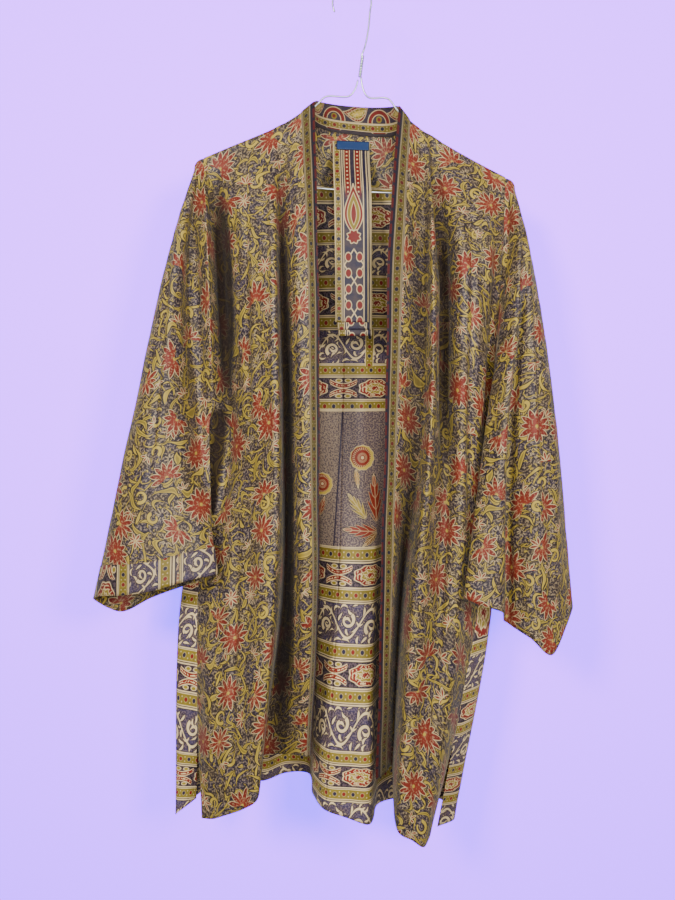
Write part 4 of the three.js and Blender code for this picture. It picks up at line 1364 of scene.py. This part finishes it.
@effect(["Along", "Repeat"], ["Colour"])
def border_print(pad, along, repeat):
    """One repeat: ribbon 0 to 0.12, medallions 0.16 to 0.39, ribbon 0.42 to 0.54, scroll
    0.57 to 0.97, with dark and cream lines between."""
    part = repeat.fraction()
    colour = pad.mix(pad.noise(along, repeat * 0.12, 0.004, 0.0), DARK, MAUVE)
    for place in (0.140, 0.404, 0.558, 0.988):
        colour = pad.mix(abs(part - place).under(0.007, 0.006), colour, CREAM)
    for motif, middle, half, size in (
            (dotted_ribbon, 0.060, 0.062, 6.8), (medallion_row, 0.272, 0.116, 13.5),
            (dotted_ribbon, 0.480, 0.062, 6.8), (scroll_vine, 0.773, 0.200, 24.0)):
        stripe, cover = motif(pad, along, (part - middle) / half, size)
        colour = pad.mix(cover, colour, stripe)
    return colour


# %% [markdown]
# ## Cloth finish
# All the cloth shares one hand: a soft silk with a faint crepe grain, a sheen, and a little
# rubbing of the print. Seams pucker slightly, and a hem shows its line of stitches. One
# function makes the material of every print, so all of them age and shine alike.

# %% Finish of the cloth
GRAIN = 0.00045
SHEEN, SHEEN_ROUGHNESS, SPECULAR = 0.10, 0.4, 0.26
# Painted shade: the dark brown that the colour turns to deep in a fold.
PAINTED_SHADE_BROWN = ink(0.012, 0.005, 0.003)


@effect(["U", "V", "Side", "Hem"], ["Height", "Roughness", "Worn"])
def cloth_finish(pad, u, v, side, hem):
    """Height of the crepe grain, of slack ripples and of sewn edges, in shares of GRAIN, with
    stitches every 5 mm; how rough the cloth is; and how worn the print."""
    rumple, weft = pad.noise(u, v, 0.012, 2.0), pad.noise(u * 0.3, v * 2.2, 0.0012, 0.0)
    near_edge = side.under(0.010, 0.012) + hem.under(0.016, 0.006)
    fold = hem.over(0.015, 0.0012) * -0.9 + side.over(0.0065, 0.001) * -0.5
    stitch = ((u * 1000).to_step(5.0).under(1.0, 0.5) * abs(hem - 0.0135).under(0.0007, 0.0006)
              + (v * 1000).to_step(5.0).under(1.0, 0.5) * abs(side - 0.005).under(0.0006, 0.0006))
    height = weft * 0.25 + rumple * (1.2 + near_edge * 0.8) + fold - stitch
    return height, 0.44 + rumple * 0.22 + weft * 0.05, pad.noise(u, v, 0.05, 2.0)


def new_material(name):
    """A material, a pad to write its nodes on, and a way to join signals to its shader."""
    material = bpy.data.materials.new(name)
    material.use_nodes = True
    shader = material.node_tree.nodes["Principled BSDF"]

    def join(**signals):
        """Joins each signal to the shader's socket of that name."""
        for socket, signal in signals.items():
            material.node_tree.links.new(signal.socket, shader.inputs[socket.replace("_", " ")])
    return material, Pad(material.node_tree), shader, join


def cloth_material(name, draw, strength):
    """Principled cloth. draw writes the colour from the piece's maps, and strength scales it.
    Deep in a fold, by the fold map, painted shade turns the colour to a dark brown, and the cloth
    is rough."""
    material, pad, shader, join = new_material(name)

    def uv(label):
        """The two numbers of one of the piece's maps."""
        where = pad.add("ShaderNodeUVMap", uv_map=label)
        split = pad.add("ShaderNodeSeparateXYZ", (where,), None)
        return Signal(pad, split.outputs[0]), Signal(pad, split.outputs[1])

    u, v = uv("cloth")
    side, hem = uv("edge")
    height, roughness, worn = cloth_finish(pad, u, v, side, hem)
    colour = draw(pad, u, v, uv)
    painted_shade, _ = uv("fold")
    shade = pad.add("ShaderNodeHueSaturation", {
        "Saturation": 1.0, "Value": (worn * 0.24 + 0.88) * strength, "Color": colour})
    bump = pad.add("ShaderNodeBump", {"Height": height, "Distance": GRAIN, "Strength": 0.7})
    # Painted shade: deep in a fold, by the fold map, the colour is mixed to a dark brown.
    join(Base_Color=pad.mix(painted_shade * 0.93, shade, PAINTED_SHADE_BROWN),
         Roughness=roughness + painted_shade * 0.4, Normal=bump)
    shader.inputs["Sheen Weight"].default_value = SHEEN
    shader.inputs["Sheen Roughness"].default_value = SHEEN_ROUGHNESS
    shader.inputs["Specular IOR Level"].default_value = SPECULAR
    return material


def draw_all_over(pad, u, v, uv):
    """The all-over print on the cloth's own lengths."""
    return all_over_print(pad, u, v)


def draw_cuff(pad, u, v, uv):
    """The border print by the piece's print map."""
    return border_print(pad, *uv("print"))


# %% [markdown]
# ## The back's cloths
# Each half of the back shows three prints: the all-over print at the top, then the border, and
# within it the plain slub panel with its flowers and a sprig. The leaves of the sprig are
# listed by foot and tip, so a leaf is moved by changing one line.

# %% Border and plain panel of the back
# Columns: mm from the centre seam and mm down from the panel's top, of the leaf's foot and of
# its tip; half width; ink and tint. A flower has its middle and its radius.
LEAVES = [
    (53, 160, 46, 92, 13.0, CORAL, RED), (54, 173, 3, 169, 10.5, RED, CORAL),
    (36, 154, 9, 119, 9.0, LEAF, OLIVE), (54, 174, 32, 193, 6.5, OLIVE, RED),
    (20, 86, 24, 113, 4.5, LEAF, CORAL), (-33, 152, -24, 124, 6.0, RED, CORAL),
]
FLOWERS = [(29, 70, 18), (-28, 107, 16)]
PANEL_START, PANEL_FALL = 2.5, 392
SPRIG_PERIOD, SPRIG_START = 124, -56


def draw_back_border(pad, u, v, uv):
    """The border, with a short ribbon that runs down across one scroll band by the seam."""
    along, repeat = uv("print")
    colour = border_print(pad, along, repeat)
    ribbon, cover = dotted_ribbon(pad, v, (along * 1000 - 36) / 6.2, 6.2)
    return pad.mix(cover * abs(repeat - 1.78).under(0.235, 0.01), colour, ribbon)


def draw_plain_panel(pad, u, v, uv):
    """The plain slub panel between repeats 2.5 and 3, PANEL_FALL mm to a repeat. It is tan on
    the wearer's right of a navy line and mauve on the left, with flowers and a sprig of lobed
    leaves every SPRIG_PERIOD mm."""
    along, repeat = uv("print")
    fall = (repeat - PANEL_START) * PANEL_FALL
    from_line = along * 1000 + fall * 0.045
    slub, thread = pad.noise(u * 3.0, v * 0.6, 0.004, 2.0), pad.noise(u, v, 0.0022, 2.0)
    plain = pad.mix(from_line.over(-1.0, 1.0), SLUB, SLUB_MAUVE)
    plain = pad.mix(slub.over(0.5, 0.3) * 0.45, plain, GROUND_BLUE)
    plain = pad.mix(thread.under(0.47, 0.12) * 0.75, plain, MAUVE)
    plain = pad.mix(thread.over(0.55, 0.12) * 0.8, plain, SLUB)
    x = (along * 1000 - SPRIG_START) / SPRIG_PERIOD
    x = x.fraction() * SPRIG_PERIOD + SPRIG_START
    for foot, foot_fall, tip, tip_fall, width, shade, tint in LEAVES:
        length = math.hypot(tip - foot, tip_fall - foot_fall)
        run, rise = (tip - foot) / length, (tip_fall - foot_fall) / length
        dx, dy = x - foot, fall - foot_fall
        depth, vein = lobed_leaf(pad, dx * rise - dy * run, dx * run + dy * rise, length, width)
        plain = pad.mix(depth.over(-1.9, 1.2) * 0.7, plain, DARK)
        plain = pad.layers(plain, depth, 0.6, (-0.5, CREAM), (0.3, pad.mix(thread, shade, tint)))
        plain = pad.mix(vein * depth.over(0.3, 0.6) * 0.55, plain, CREAM)
    for place, drop, radius in FLOWERS:
        bloom, cover = round_flower(pad, x - place, fall - drop, radius)
        plain = pad.mix(cover, plain, bloom)
    plain = pad.mix(abs(from_line).under(1.2, 0.8) * 0.85, plain, NAVY)
    frame = pad.math("MINIMUM", abs(fall - 3), abs(fall - 195))
    return pad.mix(frame.under(2.0, 0.8), plain, CREAM)


# %% [markdown]
# ## Cloths of the bands, the belt and the label
# Each is a narrow strip, so its print is a row of lines across, with what repeats along it. On
# the belt the red stripes run down into one pointed medallion, placed by height.

# %% Bands, belt and label
# The pointed medallion of the belt: height of its top, its length and its half width, in mm.
MEDALLION_TOP, MEDALLION_LENGTH, MEDALLION_HALF = 252, 68, 12.5
DROP_PERIOD = 62


def draw_front_band(pad, u, v, uv):
    """Across the band from its seam: cream, ochre ribbon, cream, navy and red stitches."""
    colour = pad.mix(pad.noise(v, u * 0.02, 0.02), MAUVE, GROUND)
    ribbon, cover = dotted_ribbon(pad, v, (u - 0.36) / 0.27, 5.6)
    colour = pad.mix(cover, colour, ribbon)
    colour = pad.mix(abs(u - 0.035).under(0.022, 0.03), colour, CREAM)
    colour = pad.mix(u.over(0.64, 0.03), colour, NAVY)
    colour = pad.mix(abs(u - 0.66).under(0.018, 0.03) * 0.8, colour, CREAM)
    dash = (v * 1000).to_step(17.0).under(6.5, 0.8) * u.over(0.84, 0.03)
    return pad.mix(0.28, pad.mix(dash, colour, RED), DARK)


def draw_neck_band(pad, u, v, uv):
    """From the seam up: mauve strip, ochre ribbon, large drops in ochre and red on navy."""
    colour = pad.mix(pad.noise(v, u * 0.04, 0.012), NAVY, MAUVE)
    fleck, step = pad.noise(v, u * 0.04, 0.0028, 0.0), v * 1000 / DROP_PERIOD + 0.18
    colour = pad.mix(fleck.over(0.6, 0.1) * 0.5, colour, GROUND)
    dx, dy = (step.fraction() - 0.5) * DROP_PERIOD, (u - 0.74) * 36
    big = comma_leaf(pad, dx * 0.97 + dy * 0.24, dy * 0.97 - dx * 0.24, 17.0, 9.0, 0.35)
    arch = 2.4 - abs(pad.length(DROP_PERIOD / 2 - abs(dx), dy + 9) - 12.5)
    for shape, shades in ((arch, (CREAM, RED, CORAL)), (big, (CREAM, RED, CREAM, OCHRE, LEAF))):
        colour = pad.layers(colour, shape, 0.6, *zip((-0.9, 0.1, 2.6, 3.4, 6.0), shades))
    bloom = (fleck.over(0.58, 0.06) * big.over(0.6, 0.5)) * 0.55
    colour = pad.mix(bloom, colour, CREAM)
    gem = pad.length(DROP_PERIOD / 2 - abs(dx), dy + 5)
    colour = pad.rings(colour, gem, 0.7, (4.0, OCHRE), (2.2, RED))
    ribbon, cover = dotted_ribbon(pad, v, (u - 0.30) / 0.125, 5.0)
    colour = pad.mix(cover, colour, ribbon)
    colour = pad.mix(abs(u - 0.445).under(0.02, 0.015), colour, CREAM)
    return pad.mix(u.under(0.14, 0.02), colour, MAUVE)


def draw_belt(pad, u, v, uv):
    """Across the belt: ochre ribbon, lines, two red stripes of dots either side of navy, which
    run down into a pointed medallion, then crossed lines with drops."""
    across_belt, down = u * 1000, v * 1000
    colour = pad.mix(pad.noise(u, v, 0.012, 2.0).over(0.5, 0.3), NAVY, MAUVE)
    x = across_belt - 25.5
    stripe = abs(abs(x) - 7.0)
    dots = (down.to_step(6.0).under(1.1, 0.5)) * stripe.under(1.1, 0.6)
    stripes = pad.mix(dots, RED, CREAM)
    colour = pad.mix(stripe.under(3.7, 0.6) * down.under(268, 14), colour, stripes)
    colour = pad.mix(abs(stripe - 3.7).under(0.5, 0.5) * down.under(262, 10), colour, CREAM)
    share = (down - MEDALLION_TOP) / MEDALLION_LENGTH
    width = pad.math("SINE", share ** 1.35 * math.pi) * MEDALLION_HALF
    inside = share.over(0, 0.02) * share.under(1.0, 0.02)
    depth = (width - abs(x)) * inside - (1 - inside) * 9
    colour = pad.layers(colour, depth, 0.7, (-0.6, CREAM), (0.8, RED), (3.6, CREAM),
                        (4.6, OCHRE), (8.4, CREAM), (9.3, RED))
    below = down - 322
    foot = pad.length(x, below) - 7 - (pad.turn(x, below) * 8).to_step(1.0) * 5
    colour = pad.rings(colour, foot, 0.8, (0.9, CREAM), (-0.6, RED))
    low = down.over(338, 3.0)
    wave = (down - 338).to_step(42.0)
    cross = abs(abs(x) - wave * 0.62).under(0.9, 0.7) * low
    colour = pad.mix(cross, colour, CREAM)
    pair = pad.length(abs(x) - 7.5, (wave - 10.5) * 0.7)
    colour = pad.mix(pair.under(4.6, 0.7) * low, colour, CREAM)
    colour = pad.mix(pair.under(3.6, 0.7) * low, colour, RED)
    colour = pad.mix(abs(x).over(13.2, 0.5), colour, NAVY)
    ribbon, cover = dotted_ribbon(pad, v, (across_belt - 5.4) / 4.4, 4.4)
    colour = pad.mix(cover, colour, ribbon)
    for place, half in ((0.6, 0.7), (12.0, 0.6), (38.6, 0.7), (44.2, 0.9)):
        colour = pad.mix(abs(across_belt - place).under(half, 0.5), colour, CREAM)
    return colour


def draw_label(pad, u, v, uv):
    """Plain blue satin with a slightly darker woven edge and its stitches."""
    side, end = pad.math("MINIMUM", u, 0.044 - u), pad.math("MINIMUM", v, 0.0125 - v)
    rim = pad.math("MINIMUM", side, end)
    weave = (v * 1000).to_step(0.8) * 1.6
    colour = pad.mix(weave * 0.35, ink(0.004, 0.045, 0.19), ink(0.002, 0.026, 0.12))
    colour = pad.mix(rim.under(0.0011, 0.0005), colour, ink(0.002, 0.018, 0.085))
    stitches = (u * 1000).to_step(3.0).under(0.8, 0.4) * abs(rim - 0.0016).under(0.0003, 0.0003)
    return pad.mix(stitches, colour, ink(0.03, 0.10, 0.25))


# %% [markdown]
# ## Zinc on the wire
# Galvanised wire is steel with a thin coat of zinc: bright, with small dull clouds where the
# coat is thicker. Two noises in the object's own space give clouds and a fine roughness.

# %% Wire coat


def galvanised_wire():
    """Bright metal, its colour and roughness led by one noise and its surface by another."""
    material, pad, shader, join = new_material("galvanised_wire")
    place = pad.add("ShaderNodeTexCoord", output="Object")
    cloud = pad.add("ShaderNodeTexNoise", {"Vector": place, "Scale": 160.0, "Detail": 3.0})
    fine = pad.add("ShaderNodeTexNoise", {"Vector": place, "Scale": 900.0, "Detail": 2.0})
    colour = pad.mix(cloud, ink(0.85, 0.96, 1.02), ink(1.30, 1.38, 1.42))
    bump = pad.add("ShaderNodeBump", {"Height": fine, "Distance": 0.0001, "Strength": 0.4})
    join(Base_Color=colour, Roughness=cloud * 0.25 + 0.22, Normal=bump)
    shader.inputs["Metallic"].default_value = 1.0
    return material


# %% [markdown]
# ## Each piece gets its cloth
# Fronts and sleeves share one cloth, as they are cut from one length. The back's quads choose
# among three cloths by the repeat they lie in, so the change of print runs along the print.

# %% Cloths on the pieces
all_over_cloth = cloth_material("all_over_cloth", draw_all_over, 0.74)
wire_coat = galvanised_wire()
PANEL_END, BORDER_START = 3.0, -0.02
ALL_OVER_PIECES = ["right_front_cloth", "left_front_cloth", "right_sleeve_cloth",
                   "left_sleeve_cloth"]
LOOKS = {
    **dict.fromkeys(ALL_OVER_PIECES, all_over_cloth),
    "right_cuff_cloth": cloth_material("cuff_border_cloth", draw_cuff, 0.85),
    "belt_cloth": cloth_material("belt_border_cloth", draw_belt, 0.82),
    "label_cloth": cloth_material("label_satin", draw_label, 0.7),
    "neck_band_cloth": cloth_material("neck_border_cloth", draw_neck_band, 0.78),
}
BACK_CLOTHS = [all_over_cloth, cloth_material("back_border_cloth", draw_back_border, 1.3),
               cloth_material("plain_panel_cloth", draw_plain_panel, 1.1)]
band_cloth = cloth_material("front_band_cloth", draw_front_band, 0.66)


def back_slots(name):
    """Which of the three cloths each quad of a back half shows, from its middle's repeat."""
    repeat = back_repeat[:, BACK_HALVES[name]]
    middle = (repeat[:-1, :-1] + repeat[1:, 1:]) / 2
    in_panel = (middle > PANEL_START) & (middle < PANEL_END)
    return np.where(middle < BORDER_START, 0, np.where(in_panel, 2, 1)).astype(np.int32).ravel()


for name, piece in finished.items():
    usual = wire_coat if name.endswith("wire") else band_cloth
    for look in BACK_CLOTHS if name in BACK_HALVES else [LOOKS.get(name, usual)]:
        piece.data.materials.append(look)
    if name in BACK_HALVES:
        piece.data.polygons.foreach_set("material_index", back_slots(name))
print("materials:", sorted(m.name for m in bpy.data.materials))

# %% [markdown]
# ## Standing for the solids
# Each piece is listed with the solid it stands for. That solid is hidden, and the piece rides
# on the part's one body.

# %% Pieces and slots
# Slot name, then each piece and the solid it stands for.
STANDS_FOR = {
    "printed_cloth": {
        "right_back_cloth": "right_back_panel", "left_back_cloth": "left_back_panel",
        "right_front_cloth": "right_front_panel", "left_front_cloth": "left_front_panel",
        "right_sleeve_cloth": "right_sleeve", "left_sleeve_cloth": "left_sleeve",
    },
    "border_cloth": {
        "right_cuff_cloth": "right_cuff_band", "neck_band_cloth": "neck_band",
        "right_front_band_cloth": "right_front_band",
        "left_front_band_cloth": "left_front_band", "belt_cloth": "belt",
    },
    "label_weave": {"label_cloth": "neck_label"},
    "steel_wire": {
        "hook_wire": "hanger_hook", "right_arm_wire": "hanger_right_arm",
        "left_arm_wire": "hanger_left_arm", "bar_wire": "hanger_bar",
    },
}
for slot_name, pieces in STANDS_FOR.items():
    for name, node in pieces.items():
        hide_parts(node)
        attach(finished[name], "root")
print("pieces that stand for solids:", sum(map(len, STANDS_FOR.values())))

# %% [markdown]
# ## What each sheet was cut from
# A maker lays each piece out flat to cut it. The cut's width and length are the longest lines
# across and down the grid, and its area is the sum of the grid's quads.

# %% Sheets


def cut_size(grid):
    """Width and length in metres of the rectangle a panel is cut from, and its own area."""
    width, length = (all_way.max() * MM for all_way in lengths(grid))
    diagonals = grid[1:, 1:] - grid[:-1, :-1], grid[1:, :-1] - grid[:-1, 1:]
    area = np.linalg.norm(np.cross(*diagonals), axis=-1).sum() / 2 * MM * MM
    return (round(float(width), 3), round(float(length), 3)), round(float(area), 4)


SHEETS = [
    ("right_front_cloth", right_front, "hung", ["right_arm_wire"]),
    ("left_front_cloth", left_front, "hung", ["left_arm_wire"]),
    ("right_back_cloth", back[:, :seam + 1], "hung", ["right_arm_wire"]),
    ("left_back_cloth", back[:, seam:], "hung", ["left_arm_wire"]),
    ("right_sleeve_cloth", right_sleeve, "hung", ["right_arm_wire"]),
    ("left_sleeve_cloth", left_sleeve, "hung", ["left_arm_wire"]),
    ("right_cuff_cloth", cuff, "hung", ["right_sleeve_cloth"]),
    ("right_front_band_cloth", right_band, "folded", ["right_front_cloth"]),
    ("left_front_band_cloth", left_band, "folded", ["left_front_cloth"]),
    ("neck_band_cloth", neck_band, "folded", ["left_back_cloth", "right_back_cloth"]),
    ("belt_cloth", np.concatenate([outer_belt, inner_belt[::-1]]), "folded",
     ["left_back_cloth"]),
    ("label_cloth", label_grid, "laid", ["belt_cloth"]),
]
for name, grid, held, rests_on in SHEETS:
    flat, area = cut_size(grid)
    print(name, "cut", flat, "area", area)

# %% [markdown]
# ## Room, light and camera
# The garment hangs in front of a pale lilac wall, with soft light from both sides. The wall is
# a backdrop and not part of the object. It lets shadow rays and views from behind through.

# %% Wall
WALL_COLOUR, WALL_GLOW = (1.0, 0.13, 1.0, 1), (0.1, 0.0, 5.0, 1)
CAST_COLOUR = (0.42, 0.38, 0.42, 1)


def paint_for_room(name, colour, glow):
    """Matt wall paint; light from behind it and eyes behind it see no wall. The even light
    that a big room sends back is its glow, seen but not cast on the garment. The light that
    it does cast is paler, as if from the whole room."""
    material = bpy.data.materials.new(name)
    material.use_nodes = True
    nodes, links = material.node_tree.nodes, material.node_tree.links
    shader = nodes["Principled BSDF"]
    shader.inputs["Roughness"].default_value = 0.9
    shader.inputs["Emission Color"].default_value = glow
    path = nodes.new("ShaderNodeLightPath")
    links.new(path.outputs["Is Camera Ray"], shader.inputs["Emission Strength"])
    seen = nodes.new("ShaderNodeMix")
    seen.data_type = "RGBA"
    seen.inputs[6].default_value, seen.inputs[7].default_value = CAST_COLOUR, colour
    links.new(path.outputs["Is Camera Ray"], seen.inputs[0])
    links.new(seen.outputs[2], shader.inputs["Base Color"])
    clear = nodes.new("ShaderNodeBsdfTransparent")
    mix, either = nodes.new("ShaderNodeMixShader"), nodes.new("ShaderNodeMath")
    either.operation = "MAXIMUM"
    links.new(nodes.new("ShaderNodeNewGeometry").outputs["Backfacing"], either.inputs[0])
    links.new(path.outputs["Is Shadow Ray"], either.inputs[1])
    links.new(either.outputs[0], mix.inputs[0])
    links.new(shader.outputs[0], mix.inputs[1])
    links.new(clear.outputs[0], mix.inputs[2])
    links.new(mix.outputs[0], nodes["Material Output"].inputs["Surface"])
    return material


wall = mesh_object("wall", [(-3, 0.125, -2.2), (3, 0.125, -2.2), (3, 0.125, 1.6),
                            (-3, 0.125, 1.6)], [(0, 1, 2, 3)])
wall.data.materials.append(paint_for_room("lilac_wall_paint", WALL_COLOUR, WALL_GLOW))
print("wall", wall.dimensions[0], "m wide")

# %% [markdown]
# ## Lamps
# Two soft lamps stand in front, one at each side, so each fold has a lit and a dark flank. A
# wider one in front fills in, and one behind lights the back. A dim lilac sky fills the rest.

# %% Lamps


def area_light(name, location, aim, size, watts, colour):
    """A square lamp that looks from its location to its aim."""
    lamp = bpy.data.lights.new(name, "AREA")
    lamp.shape, lamp.size, lamp.energy, lamp.color = "SQUARE", size, watts, colour
    print(name, watts, "watts")
    holder = bpy.data.objects.new(name, lamp)
    holder.location = location
    way = np.array(aim, float) - np.array(location, float)
    way /= np.linalg.norm(way)
    holder.rotation_euler = (math.acos(-way[2]), 0, math.atan2(-way[0], way[1]))
    bpy.context.scene.collection.objects.link(holder)


area_light("main_light", (-0.85, -1.75, 0.20), (0, 0, -0.55), 0.4, 47, (1.0, 0.98, 0.94))
area_light("second_light", (0.90, -1.70, -0.05), (0, 0, -0.6), 0.45, 36, (1.0, 0.98, 0.96))
area_light("front_light", (0.0, -2.0, -0.5), (0, 0, -0.6), 0.8, 27, (1.0, 0.97, 0.95))
area_light("back_light", (0.4, 1.8, 0.2), (0, 0, -0.6), 1.2, 32, (1.0, 1.0, 1.0))

world = bpy.data.worlds.new("room_light")
world.use_nodes = True
world.node_tree.nodes["Background"].inputs["Color"].default_value = (0.80, 0.76, 0.92, 1)
world.node_tree.nodes["Background"].inputs["Strength"].default_value = 0.14
bpy.context.scene.world = world

# %% [markdown]
# ## Camera
# The camera stands about 1.1 m in front of the garment, a little above its middle and tipped 5
# degrees down, as someone would hold it to take in the whole garment.

# %% Camera
lens = bpy.data.cameras.new("camera")
lens.lens, lens.sensor_width, lens.sensor_fit = 32.0, 36.0, "AUTO"
eye = bpy.data.objects.new("camera", lens)
eye.location, eye.rotation_euler = (-0.0188, -1.085, -0.511), (math.radians(85), 0, 0)
bpy.context.scene.collection.objects.link(eye)
bpy.context.scene.camera = eye
print("camera lens", lens.lens, "mm at", tuple(round(v, 3) for v in eye.location))
